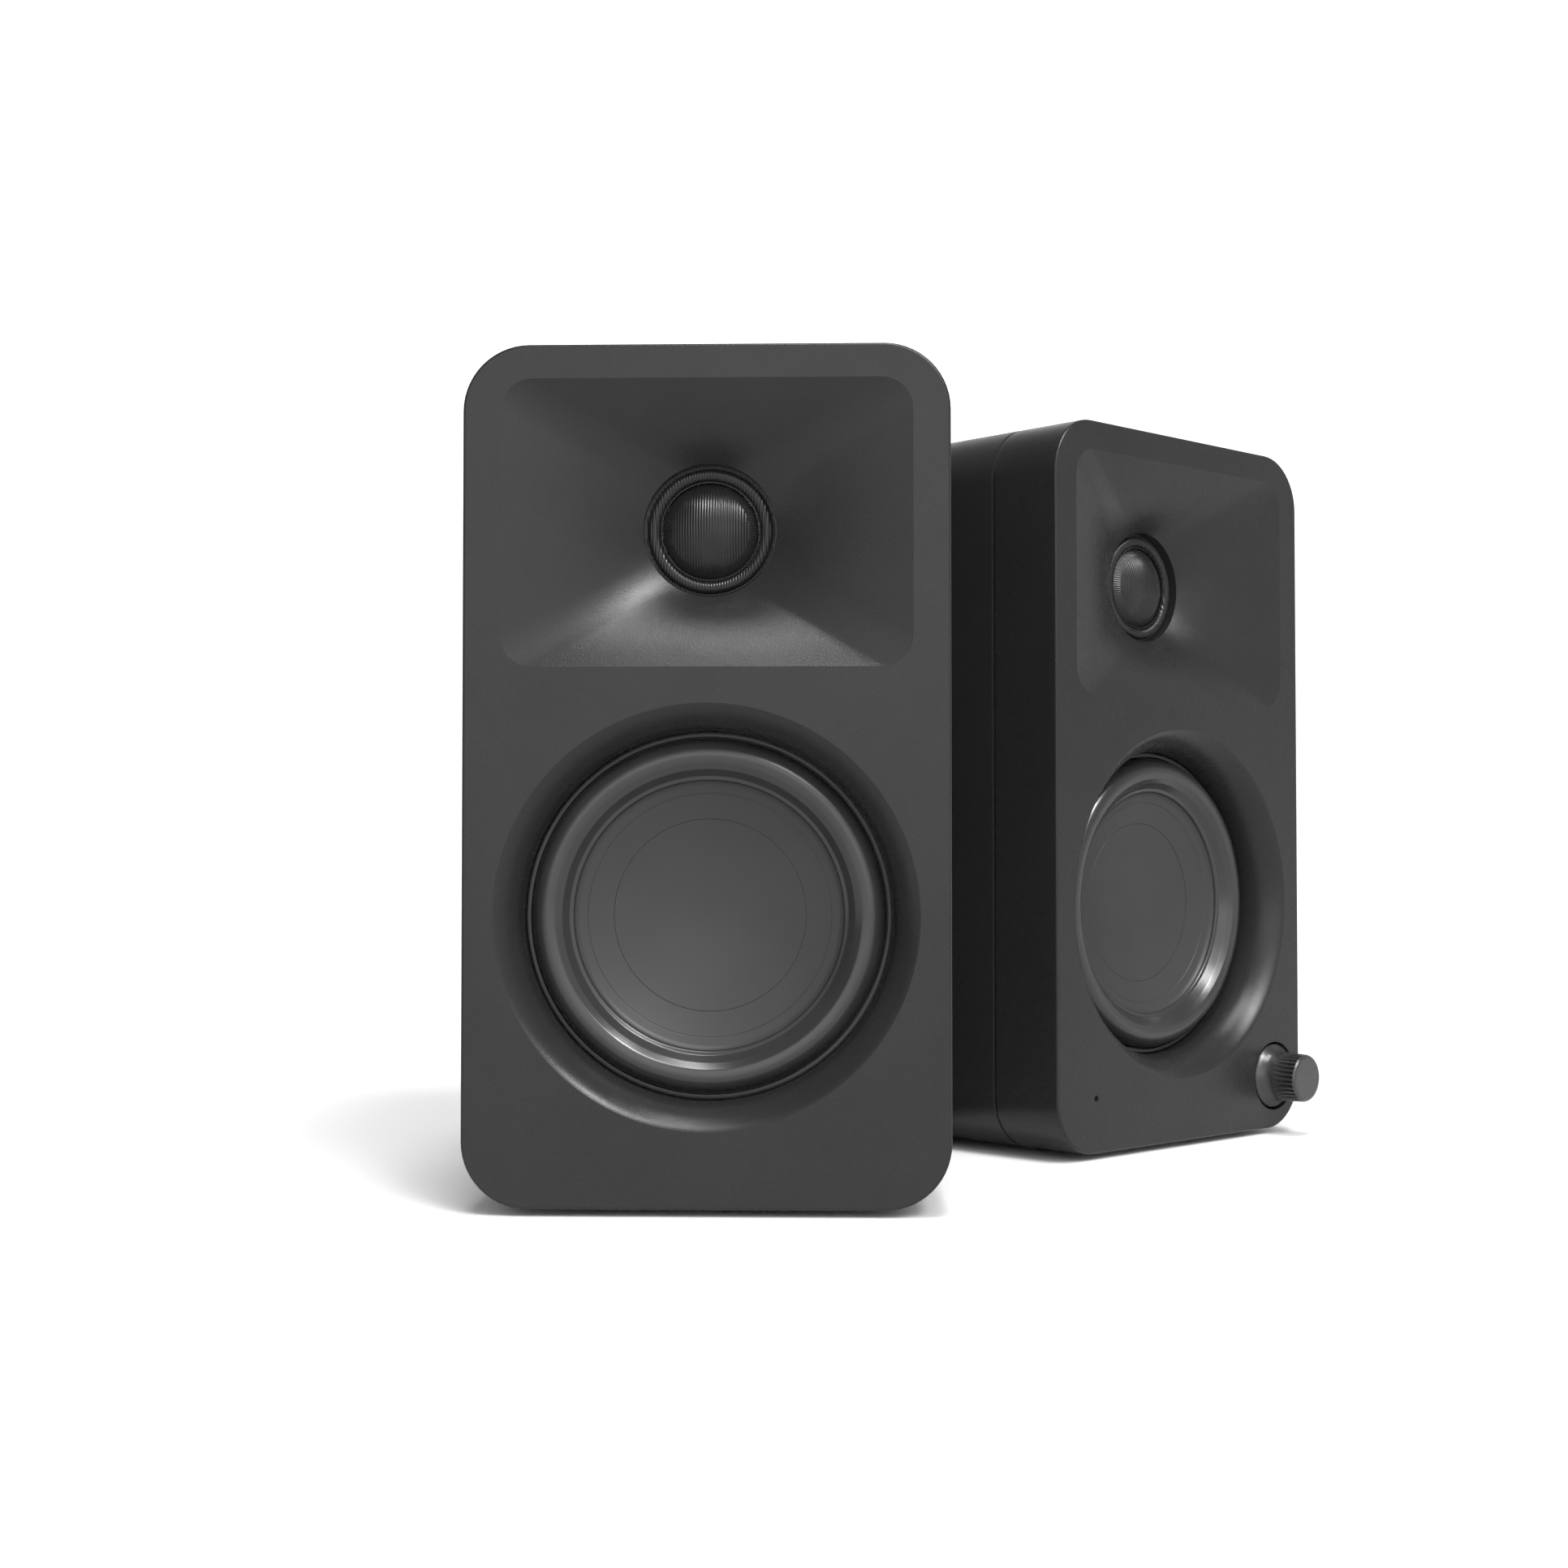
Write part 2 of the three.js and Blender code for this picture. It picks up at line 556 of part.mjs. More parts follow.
function electronics() {
  const front = -DEPTH / 2;
  const back = group(0, -front, PANEL.z,
    piece("power_inlet", barrelSocket(INLET), "socket"),
    piece("sub_out_jack", phonoJack(SUB_OUT), "socket"),
    ...AUDIO_JACKS.map((place) => piece(`audio_jack_${place.side}`, phonoJack(place), "socket")),
    piece("usb_socket", usbSocket(USB), "steel"),
    piece("crossover_switch", crossoverSwitch(CROSSOVER), "socket"),
    piece("crossover_slider", crossoverSlider(CROSSOVER), "trim"),
    piece("amplifier_board", amplifierBoard(), "board"),
    piece("heat_sink", heatSink(), "steel"));
  const control = group(KNOB.x, front, KNOB.z,
    piece("volume_knob", volumeKnob(), "trim"),
    piece("encoder_shaft", encoderShaft(), "steel"),
    piece("encoder_rotor", encoderRotor(), "frame"),
    piece("encoder_body", encoderBody(), "frame"),
    piece("control_board", controlBoard(), "board"));
  const indicator = group(LED.x, front, LED.z, piece("led_lens", ledLens(), "lens"));
  return [back, control, indicator];
}

const left = speaker("left", false);
const right = speaker("right", true);
right.add(...electronics());
right.position.set(RIGHT_PLACE.x, RIGHT_PLACE.y, 0);
right.rotation.z = RIGHT_PLACE.turn;

const speakers = new THREE.Group();
speakers.add(left, right);

export default speakers;
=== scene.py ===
import json
import math

import bmesh
import bpy
from mathutils import Matrix, Vector
from mathutils.geometry import tessellate_polygon


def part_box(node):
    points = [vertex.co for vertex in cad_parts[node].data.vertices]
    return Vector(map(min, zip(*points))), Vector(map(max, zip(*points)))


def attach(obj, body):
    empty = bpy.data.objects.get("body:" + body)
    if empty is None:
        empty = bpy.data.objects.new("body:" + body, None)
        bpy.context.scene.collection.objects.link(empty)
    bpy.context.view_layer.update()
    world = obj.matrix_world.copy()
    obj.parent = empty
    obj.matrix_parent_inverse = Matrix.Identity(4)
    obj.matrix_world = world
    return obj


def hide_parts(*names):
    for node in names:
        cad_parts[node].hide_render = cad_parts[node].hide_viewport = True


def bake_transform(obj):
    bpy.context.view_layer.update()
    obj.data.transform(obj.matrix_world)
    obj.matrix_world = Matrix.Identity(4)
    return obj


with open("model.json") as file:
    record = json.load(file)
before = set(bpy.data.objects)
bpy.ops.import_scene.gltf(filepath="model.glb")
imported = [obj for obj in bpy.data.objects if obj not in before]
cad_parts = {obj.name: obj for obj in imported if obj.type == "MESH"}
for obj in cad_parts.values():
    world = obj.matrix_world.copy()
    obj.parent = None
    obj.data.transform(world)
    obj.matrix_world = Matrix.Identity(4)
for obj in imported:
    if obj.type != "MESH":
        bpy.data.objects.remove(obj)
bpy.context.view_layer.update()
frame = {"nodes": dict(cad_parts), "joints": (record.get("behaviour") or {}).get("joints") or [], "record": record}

# Every shape is drawn in its own speaker's frame, in millimetres: across to the right as seen from the
# front, depth behind the front face, and height above the floor.
MM = 0.001
SIDES = ("left", "right")


# ---- Driving sizes, read from the frame ----
def joint(name):
    return next(j for j in frame["joints"] if j["name"] == name)


baffle_low, baffle_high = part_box("left_front_baffle")
shell_low, shell_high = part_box("left_rear_shell")
FRONT = baffle_low.y
WIDTH = (baffle_high.x - baffle_low.x) / MM
HEIGHT = (baffle_high.z - baffle_low.z) / MM
DEPTH = (shell_high.y - FRONT) / MM
BOTTOM = baffle_low.z / MM
MIDDLE = BOTTOM + HEIGHT / 2
BAFFLE_REAR = (baffle_high.y - FRONT) / MM
SHELL_FRONT = (shell_low.y - FRONT) / MM


def speaker_place(side):
    """The matrix from a speaker's own frame to the row frame, in metres."""
    low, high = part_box(f"{side}_base_pad")
    middle = (low + high) / 2
    out = joint(f"{side}_woofer_stroke")["axis"]
    turn = math.atan2(out[0], -out[1])
    to_front = Matrix.Translation((0, -DEPTH * MM / 2, 0))
    return Matrix.Translation((middle.x, middle.y, 0)) @ Matrix.Rotation(turn, 4, "Z") @ to_front


PLACE = {side: speaker_place(side) for side in SIDES}


def local_box(node, side):
    """A CAD node's corners in its speaker's own frame, in millimetres."""
    back = PLACE[side].inverted()
    points = [(back @ v.co) / MM for v in frame["nodes"][node].data.vertices]
    low = Vector([min(p[axis] for p in points) for axis in range(3)])
    high = Vector([max(p[axis] for p in points) for axis in range(3)])
    return low, high


def local_centre(node, side="left"):
    low, high = local_box(node, side)
    return (low + high) / 2


def local_front(node, side="right"):
    """A CAD node's depths and middle, and half its size across and up."""
    low, high = local_box(node, side)
    return low.y, high.y, (low + high) / 2, (high.x - low.x) / 2, (high.z - low.z) / 2


WOOFER_Z = local_centre("left_woofer_trim_ring").z
TWEETER_Z = local_centre("left_tweeter_dome").z
PORT_Z = local_centre("left_port_tube").z
KNOB_AT = local_centre("volume_knob", "right")
LED_AT = local_centre("led_lens", "right")

# The housing: its corner radius seen from the front, its edges and its walls.
CORNER = 13.5
EDGE = 0.6
PARTING_EDGE = 0.3
REAR_ROUND = 12
WALL = 3
REAR_WALL = 5
# A ring of points this far from an edge keeps the shading of a long flat side even.
SUPPORT = 0.4
# A small rounded edge is drawn with three points, the middle one at this share of its size.
EASE = 0.3

# The openings in the front.
HORN = {"half_width": 41.9, "half_height": 29.35, "corner": 6.5, "depth": 12.5, "throat": 13.9}
TWEETER_SEAT = 15
FLARE = {"mouth": 43, "bore": 38, "depth": 11, "seat": 13, "bend": 2.8}
DISH = {"edge": 28, "edge_depth": 11.5, "centre_depth": 17.5}
KNOB_HOLE = 8.7
LED_HOLE = 0.7

# Points round a turned shape, by its size.
LARGE_ROUND = 144
MEDIUM_ROUND = 96
SMALL_ROUND = 64
TINY_ROUND = 32
ON_AXIS = 1e-6


# ---- Shapes ----
class Shape:
    """Rings of points in a speaker's own frame, and the faces between them."""

    def __init__(self):
        self.points = []
        self.faces = []
        self.flat = set()

    def ring(self, points):
        start = len(self.points)
        self.points += [tuple(p) for p in points]
        return list(range(start, len(self.points)))

    def bridge(self, first, second):
        count = len(first)
        for i in range(count):
            j = (i + 1) % count
            self.faces.append((first[i], first[j], second[j], second[i]))

    def wall(self, outlines):
        """Rings along a row of outlines, with the faces between them."""
        rings = [self.ring(outline) for outline in outlines]
        for first, second in zip(rings, rings[1:]):
            self.bridge(first, second)
        return rings

    def fill(self, outer, *holes):
        """A flat face between a closed ring and the holes in it."""
        loops = [outer, *holes]
        names = [index for loop in loops for index in loop]
        outlines = []
        for loop in loops:
            outlines.append([Vector((self.points[i][0], self.points[i][2], 0)) for i in loop])
        for triangle in tessellate_polygon(outlines):
            self.flat.add(len(self.faces))
            self.faces.append(tuple(names[i] for i in triangle))

    def tip(self, ring, point):
        """Closes a ring with triangles that meet at a point."""
        end = len(self.points)
        self.points.append(tuple(point))
        for i, index in enumerate(ring):
            self.faces.append((index, ring[(i + 1) % len(ring)], end))


def arc(turn, steps):
    """Evenly spaced angles from 0 to a turn, both included."""
    return [turn * i / steps for i in range(steps + 1)]


def eased(size):
    """A small rounded edge, as pairs of inset and drop, from the face to the side."""
    return [(size, 0), (EASE * size, EASE * size), (0, size)]


def soften(points, steps=4):
    """A closed outline in which each corner that carries a radius as its third number is rounded."""
    longest_share = 0.48
    made = []
    for i, point in enumerate(points):
        here = Vector(point[:2])
        radius = point[2] if len(point) > 2 else 0
        if not radius:
            made.append(tuple(here))
            continue
        before = Vector(points[i - 1][:2]) - here
        after = Vector(points[(i + 1) % len(points)][:2]) - here
        reach = radius / math.tan(before.angle(after) / 2)
        reach = min(reach, longest_share * before.length, longest_share * after.length)
        start = here + before.normalized() * reach
        end = here + after.normalized() * reach
        for k in range(steps + 1):
            t = k / steps
            made.append(tuple(start * (1 - t) ** 2 + here * 2 * t * (1 - t) + end * t ** 2))
    return made


def circle(radius, depth, x=0.0, z=0.0, steps=LARGE_ROUND):
    angles = [2 * math.pi * i / steps for i in range(steps)]
    return [(x + radius * math.cos(a), depth, z + radius * math.sin(a)) for a in angles]


def circles(profile, x=0.0, z=0.0, steps=LARGE_ROUND):
    """A circle for each (radius, depth) pair."""
    return [circle(radius, depth, x, z, steps) for radius, depth in profile]


def turned(profile, x=0.0, z=0.0, steps=LARGE_ROUND):
    """A solid turned about the depth axis. A profile that starts and ends on the axis is closed by tips."""
    shape = Shape()
    rings = shape.wall(circles([point for point in profile if point[0] > ON_AXIS], x, z, steps))
    if profile[0][0] <= ON_AXIS:
        shape.tip(rings[0], (x, profile[0][1], z))
        shape.tip(rings[-1], (x, profile[-1][1], z))
    else:
        shape.bridge(rings[-1], rings[0])
    return shape


def rounded_rectangle(half_width, half_height, corner, depth, x=0.0, z=0.0, corner_steps=10, side_steps=1):
    """An outline seen from the front. Its straight sides can be divided too."""
    points = []
    for quarter, (sign_x, sign_z) in enumerate(((1, 1), (-1, 1), (-1, -1), (1, -1))):
        for i in range(corner_steps + 1):
            angle = (quarter + i / corner_steps) * math.pi / 2
            across = sign_x * (half_width - corner) + corner * math.cos(angle)
            up = sign_z * (half_height - corner) + corner * math.sin(angle)
            points.append((x + across, depth, z + up))
        last_x, last_z = points[-1][0] - x, points[-1][2] - z
        for i in range(1, side_steps):
            share = 1 - 2 * i / side_steps
            along = (last_x * share, last_z) if quarter % 2 == 0 else (last_x, last_z * share)
            points.append((x + along[0], depth, z + along[1]))
    return points


def housing_rings(profile):
    """The housing's outline for each pair of inset and depth."""
    least_corner, corner_steps = 0.5, 14
    outlines = []
    for inset, depth in profile:
        corner = max(CORNER - inset, least_corner)
        outlines.append(rounded_rectangle(WIDTH / 2 - inset, HEIGHT / 2 - inset, corner, depth, 0, MIDDLE,
                                          corner_steps))
    return outlines


def at_depth(outline, depth):
    return [(x, depth, z) for x, _, z in outline]


def make(name, shape, side, material, body=None, replaces=(), sharp=32):
    """Puts a shape into the scene. Edges that turn by more than the sharp angle, in degrees, stay sharp."""
    mesh = bpy.data.meshes.new(name)
    place = PLACE[side]
    mesh.from_pydata([place @ (Vector(p) * MM) for p in shape.points], [], shape.faces)
    mesh.materials.append(material)
    work = bmesh.new()
    work.from_mesh(mesh)
    bmesh.ops.recalc_face_normals(work, faces=work.faces)
    for edge in work.edges:
        level = [face.index in shape.flat for face in edge.link_faces]
        edge.smooth = all(level) == any(level) and edge.calc_face_angle(0) < math.radians(sharp)
    for face in work.faces:
        face.smooth = True
    work.to_mesh(mesh)
    work.free()
    piece = bpy.data.objects.new(name, mesh)
    bpy.context.scene.collection.objects.link(piece)
    if body:
        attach(piece, body)
    if replaces:
        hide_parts(*replaces)
    return piece


# ---- Materials. Noise scales are per metre, and grain sizes and bump heights are in millimetres. ----
NOISE_LOW, NOISE_HIGH = 0.3, 0.7


class Nodes:
    """A material's node tree, with one Principled shader."""

    def __init__(self, name):
        self.material = bpy.data.materials.new(name)
        self.material.use_nodes = True
        self.tree = self.material.node_tree
        self.shader = self.tree.nodes["Principled BSDF"]
        self.coordinates = self.tree.nodes.new("ShaderNodeTexCoord").outputs["Object"]

    def add(self, kind, **values):
        """A new node. A value goes to the input of that name, or else to the node's own setting."""
        node = self.tree.nodes.new(kind)
        for key, value in values.items():
            if key in node.inputs:
                node.inputs[key].default_value = value
            else:
                setattr(node, key, value)
        return node

    def link(self, source, target):
        self.tree.links.new(source, target)

    def drive(self, source, name):
        self.link(source, self.shader.inputs[name])

    def hold(self, name, value):
        self.shader.inputs[name].default_value = value

    def math(self, operation, first, second=0.0):
        node = self.add("ShaderNodeMath", operation=operation)
        for socket, value in zip(node.inputs, (first, second)):
            if isinstance(value, (int, float)):
                socket.default_value = value
            else:
                self.link(value, socket)
        return node.outputs[0]

    def noise(self, scale, detail=2.0, roughness=0.5, stretch=None):
        node = self.add("ShaderNodeTexNoise", Scale=scale, Detail=detail, Roughness=roughness)
        source = self.coordinates
        if stretch:
            mapping = self.add("ShaderNodeMapping", Scale=stretch)
            self.link(source, mapping.inputs["Vector"])
            source = mapping.outputs["Vector"]
        self.link(source, node.inputs["Vector"])
        return node.outputs["Fac"]

    def gloss(self, source, low, high):
        """Roughness that follows a noise between two values."""
        node = self.add("ShaderNodeMapRange")
        ends = (("From Min", NOISE_LOW), ("From Max", NOISE_HIGH), ("To Min", low), ("To Max", high))
        for key, value in ends:
            node.inputs[key].default_value = value
        self.link(source, node.inputs["Value"])
        self.drive(node.outputs["Result"], "Roughness")

    def tint(self, source, dark, light):
        """Colour that follows a noise between two colours."""
        node = self.add("ShaderNodeValToRGB")
        stops = ((NOISE_LOW, dark), (NOISE_HIGH, light))
        for element, (position, colour) in zip(node.color_ramp.elements, stops):
            element.position = position
            element.color = (*colour, 1)
        self.link(source, node.inputs["Fac"])
        self.drive(node.outputs["Color"], "Base Color")

    def bump(self, source, height):
        node = self.add("ShaderNodeBump", Distance=height * MM, Strength=1)
        self.link(source, node.inputs["Height"])
        self.drive(node.outputs["Normal"], "Normal")


def grey(level):
    """A grey with a trace of blue."""
    return level, level, level * 1.02


def scaled(colour, factor):
    return tuple(min(part * factor, 1) for part in colour)


def moulded(name, level, roughness, grain=0.24, height=0.032, specular=0.18):
    """Spark-eroded plastic: a fine sandy grain with a slow change of tone and gloss."""
    tone_change, gloss_change = 0.05, 0.03
    n = Nodes(name)
    n.tint(n.noise(60, 3), grey(level * (1 - tone_change)), grey(level * (1 + tone_change)))
    n.gloss(n.noise(180), roughness - gloss_change, roughness + gloss_change)
    n.bump(n.noise(1 / (grain * MM), 2, 0.6), height)
    n.hold("Specular IOR Level", specular)
    return n.material


def rubber(name, level, roughness, specular=0.5):
    n = Nodes(name)
    n.tint(n.noise(90, 3), grey(level * 0.9), grey(level * 1.1))
    n.gloss(n.noise(1200), roughness - 0.015, roughness + 0.02)
    n.bump(n.noise(5000), 0.0008)
    n.hold("Specular IOR Level", specular)
    return n.material


def ribbed_silk(name, level, side):
    """Coated dome cloth. Its ribs run upright, and turn to point inwards along the dome's edge."""
    rib_pitch, rib_height, edge_ribs = 0.57, 0.04, 100
    edge_radius, edge_half_width = 9.1, 0.9
    n = Nodes(name)
    back = PLACE[side].inverted()
    mapping = n.add("ShaderNodeMapping")
    mapping.inputs["Location"].default_value = back.translation / MM - Vector((0, 0, TWEETER_Z))
    mapping.inputs["Rotation"].default_value = back.to_euler()
    mapping.inputs["Scale"].default_value = (1 / MM, 1 / MM, 1 / MM)
    n.link(n.coordinates, mapping.inputs["Vector"])
    split = n.add("ShaderNodeSeparateXYZ")
    n.link(mapping.outputs["Vector"], split.inputs["Vector"])
    x, z = split.outputs["X"], split.outputs["Z"]
    upright = n.math("SINE", n.math("MULTIPLY", x, 2 * math.pi / rib_pitch))
    inward = n.math("SINE", n.math("MULTIPLY", n.math("ARCTAN2", z, x), edge_ribs))
    radius = n.math("SQRT", n.math("ADD", n.math("MULTIPLY", x, x), n.math("MULTIPLY", z, z)))
    at_edge = n.math("COMPARE", radius, edge_radius)
    at_edge.node.inputs[2].default_value = edge_half_width
    both = n.add("ShaderNodeMix", data_type="FLOAT")
    n.link(at_edge, both.inputs["Factor"])
    n.link(upright, both.inputs["A"])
    n.link(inward, both.inputs["B"])
    n.tint(n.noise(500, 3), grey(level * 0.85), grey(level * 1.2))
    n.hold("Roughness", 0.27)
    n.hold("Sheen Weight", 0.03)
    n.hold("Specular IOR Level", 0.28)
    n.bump(both.outputs["Result"], rib_height)
    return n.material


def metal(name, colour, roughness, scratch=0.004):
    """Bare or plated metal with fine upright scratches."""
    n = Nodes(name)
    n.hold("Metallic", 1)
    n.tint(n.noise(200, 4), scaled(colour, 0.85), colour)
    n.gloss(n.noise(700, 3), roughness - 0.06, roughness + 0.08)
    n.bump(n.noise(2500, 3, 0.6, (1, 1, 0.1)), scratch)
    return n.material


def plain(name, colour, roughness, height, scale):
    """Any other surface, with a texture of its own height and noise scale."""
    tone_change, gloss_change = 0.15, 0.05
    n = Nodes(name)
    n.tint(n.noise(scale / 10, 3), scaled(colour, 1 - tone_change), scaled(colour, 1 + tone_change))
    n.gloss(n.noise(scale / 4), roughness - gloss_change, roughness + gloss_change)
    n.bump(n.noise(scale, 3), height)
    return n.material


MATERIALS = {
    "baffle": moulded("baffle_plastic", 0.019, 0.27),
    "shell": moulded("shell_plastic", 0.019, 0.3),
    "foam": plain("gasket_foam", (0.02, 0.02, 0.02), 0.9, 0.05, 2500),
    "rubber_pad": rubber("pad_rubber", 0.03, 0.6),
    "trim": moulded("trim_plastic", 0.04, 0.35, 0.2, 0.004),
    "basket": plain("powder_coat", (0.02, 0.02, 0.021), 0.45, 0.01, 3000),
    "surround": rubber("surround_rubber", 0.026, 0.23, 0.37),
    "cone": moulded("cone_film", 0.036, 0.42, 0.2, 0.003),
    "copper": metal("coil_copper", (0.75, 0.35, 0.16), 0.3),
    "spider_cloth": plain("spider_weave", (0.45, 0.30, 0.12), 0.85, 0.08, 1400),
    "motor_steel": metal("zinc_steel", (0.55, 0.55, 0.57), 0.35),
    "ferrite": plain("ferrite", (0.05, 0.05, 0.052), 0.7, 0.02, 2000),
    "port": moulded("port_plastic", 0.03, 0.4, 0.25, 0.006),
    "panel": moulded("panel_plastic", 0.022, 0.5, 0.3, 0.03),
    "socket": plain("socket_plastic", (0.014, 0.014, 0.015), 0.3, 0.002, 2500),
    "jack": metal("nickel", (0.66, 0.63, 0.58), 0.22, 0.001),
    "board": plain("solder_mask", (0.02, 0.09, 0.04), 0.35, 0.01, 1500),
    "heat_sink": metal("aluminium", (0.62, 0.62, 0.64), 0.4),
    "knob": moulded("knob_plastic", 0.028, 0.27, 0.2, 0.002, 0.45),
    "lens": plain("smoked_lens", (0.012, 0.012, 0.013), 0.15, 0.001, 1500),
    "screw": metal("black_screw", (0.05, 0.05, 0.052), 0.35),
    "gold": metal("contact_gold", (0.9, 0.66, 0.28), 0.25, 0.0),
    "white_ring": plain("white_insulator", (0.72, 0.71, 0.68), 0.4, 0.002, 1500),
    "red_ring": plain("red_insulator", (0.5, 0.03, 0.03), 0.4, 0.002, 1500),
    "black_ring": plain("black_insulator", (0.02, 0.02, 0.02), 0.4, 0.002, 1500),
}
CLOTH = {side: ribbed_silk(f"{side}_dome_silk", 0.009, side) for side in SIDES}


def finish_cad_nodes():
    """Gives each CAD node the material of its slot."""
    slots = {part["node"]: part["material_slot"] for part in frame["record"]["subparts"]}
    for name, node in frame["nodes"].items():
        slot = slots[name]
        side = "left" if name.startswith("left") else "right"
        node.data.materials.clear()
        node.data.materials.append(CLOTH[side] if slot == "dome_cloth" else MATERIALS[slot])


# ---- Front baffle ----
HORN_CORNER_STEPS = 12
HORN_SIDE_STEPS = 24


def horn_ring(share, grow=0.0):
    """The waveguide's outline at a share of the way from its mouth, 0, to its throat, 1."""
    steepening = 0.38
    depth = HORN["depth"] * ((1 - steepening) * share + steepening * share ** 3)
    mouth = rounded_rectangle(HORN["half_width"] + grow, HORN["half_height"] + grow, HORN["corner"] + grow, 0,
                              0, TWEETER_Z, HORN_CORNER_STEPS, HORN_SIDE_STEPS)
    throat = HORN["throat"] + grow
    quarter = len(mouth) / 4
    ring = []
    for i, (x, _, z) in enumerate(mouth):
        angle = ((i - HORN_CORNER_STEPS / 2) / quarter + 0.5) * math.pi / 2
        throat_x = throat * math.cos(angle)
        throat_z = TWEETER_Z + throat * math.sin(angle)
        ring.append((x + (throat_x - x) * share, depth, z + (throat_z - z) * share))
    return ring


def flare_profile():
    """The woofer's flare, from a rim with a small chamfer down to the seat of the trim ring."""
    steps = 20
    reach = FLARE["mouth"] - FLARE["bore"]
    curve = [(FLARE["mouth"] + 0.25, 0), (FLARE["mouth"] - 0.02, 0.12)]
    for i in range(1, steps + 1):
        left_over = (1 - i / steps) ** FLARE["bend"]
        curve.append((FLARE["bore"] + reach * left_over, FLARE["depth"] * i / steps))
    return curve + [(FLARE["bore"], FLARE["seat"])]


def front_hole(shape, radius, at, steps):
    """A round hole through the front face with a rounded edge."""
    edge = eased(min(0.25, radius / 4))
    profile = [(radius + grow, drop) for grow, drop in edge] + [(radius, WALL)]
    return shape.wall(circles(profile, at.x, at.z, steps))


def front_baffle(side):
    shape = Shape()
    profile = [(EDGE * (1 - math.sin(a)), EDGE * (1 - math.cos(a))) for a in arc(math.pi / 2, 5)]
    profile += [(0, EDGE + SUPPORT), (0, BAFFLE_REAR - PARTING_EDGE - SUPPORT)]
    profile += [(inset, BAFFLE_REAR - drop) for inset, drop in reversed(eased(PARTING_EDGE))]
    profile += [(WALL, BAFFLE_REAR), (WALL, WALL)]
    outside = shape.wall(housing_rings(profile))

    horn_steps, boss_wall, boss_depth, mouth_wall = 36, 6, 1, 2.5
    horn = [horn_ring(i / horn_steps) for i in range(horn_steps + 1)]
    horn += [at_depth(horn_ring(1), depth) for depth in (TWEETER_SEAT - SUPPORT, TWEETER_SEAT)]
    horn += [at_depth(horn_ring(1, boss_wall), depth) for depth in (TWEETER_SEAT, TWEETER_SEAT - boss_depth)]
    horn.append(at_depth(horn_ring(0, mouth_wall), WALL))
    horn = shape.wall(horn)

    seat_width = 4.5
    flare_back = [(FLARE["bore"] + seat_width, FLARE["seat"]), (FLARE["mouth"] + WALL, WALL)]
    holes = [horn, shape.wall(circles(flare_profile() + flare_back, 0, WOOFER_Z))]
    if side == "right":
        holes.append(front_hole(shape, KNOB_HOLE, KNOB_AT, 72))
        holes.append(front_hole(shape, LED_HOLE, LED_AT, 24))
    shape.fill(outside[0], *[hole[0] for hole in holes])
    shape.fill(outside[-1], *[hole[-1] for hole in holes])
    make(f"{side}_baffle_moulding", shape, side, MATERIALS["baffle"], f"{side}_speaker",
         [f"{side}_front_baffle"])


# ---- Rear shell, port, base pad ----
def panel_pocket(side, inner_rear):
    """The stepped opening that takes the rear panel: a sunk seat for its rim, and a hole inside the seat."""
    _, _, middle, half_width, half_height = local_front(f"{side}_rear_panel", side)
    gap, corner, hole_corner = 0.3, 2.3, 1
    seat_depth, ledge, chamfer = 2.5, 4.3, 0.3
    rows = ((gap + chamfer, corner + chamfer, DEPTH), (gap, corner, DEPTH - chamfer),
            (gap, corner, DEPTH - seat_depth), (gap - ledge, hole_corner, DEPTH - seat_depth),
            (gap - ledge, hole_corner, inner_rear))
    return [rounded_rectangle(half_width + grow, half_height + grow, radius, depth, middle.x, middle.z, 6)
            for grow, radius, depth in rows]


def rear_shell(side):
    shape = Shape()
    round_start = DEPTH - REAR_ROUND
    outside = [(WALL, SHELL_FRONT)]
    outside += [(inset, SHELL_FRONT + drop) for inset, drop in eased(PARTING_EDGE)]
    outside += [(0, SHELL_FRONT + PARTING_EDGE + SUPPORT), (0, round_start - 1)]
    outside += [(REAR_ROUND * (1 - math.cos(a)), round_start + REAR_ROUND * math.sin(a))
                for a in arc(math.pi / 2, 14)]
    inner_rear = DEPTH - REAR_WALL
    inner_round = REAR_ROUND - REAR_WALL
    inside = [(WALL + inner_round * (1 - math.cos(a)), inner_rear - inner_round * (1 - math.sin(a)))
              for a in arc(math.pi / 2, 6)]
    outer_rings = shape.wall(housing_rings(outside))
    inner_rings = shape.wall(housing_rings(inside))
    shape.bridge(outer_rings[0], inner_rings[0])

    port_hole, chamfer = 19.7, 0.3
    hole = [(port_hole + chamfer, DEPTH), (port_hole, DEPTH - chamfer), (port_hole, inner_rear)]
    port = shape.wall(circles(hole, 0, PORT_Z, MEDIUM_ROUND))
    pocket = shape.wall(panel_pocket(side, inner_rear))
    shape.fill(outer_rings[-1], port[0], pocket[0])
    shape.fill(inner_rings[-1], port[-1], pocket[-1])
    make(f"{side}_shell_moulding", shape, side, MATERIALS["shell"], f"{side}_speaker",
         [f"{side}_rear_shell"])


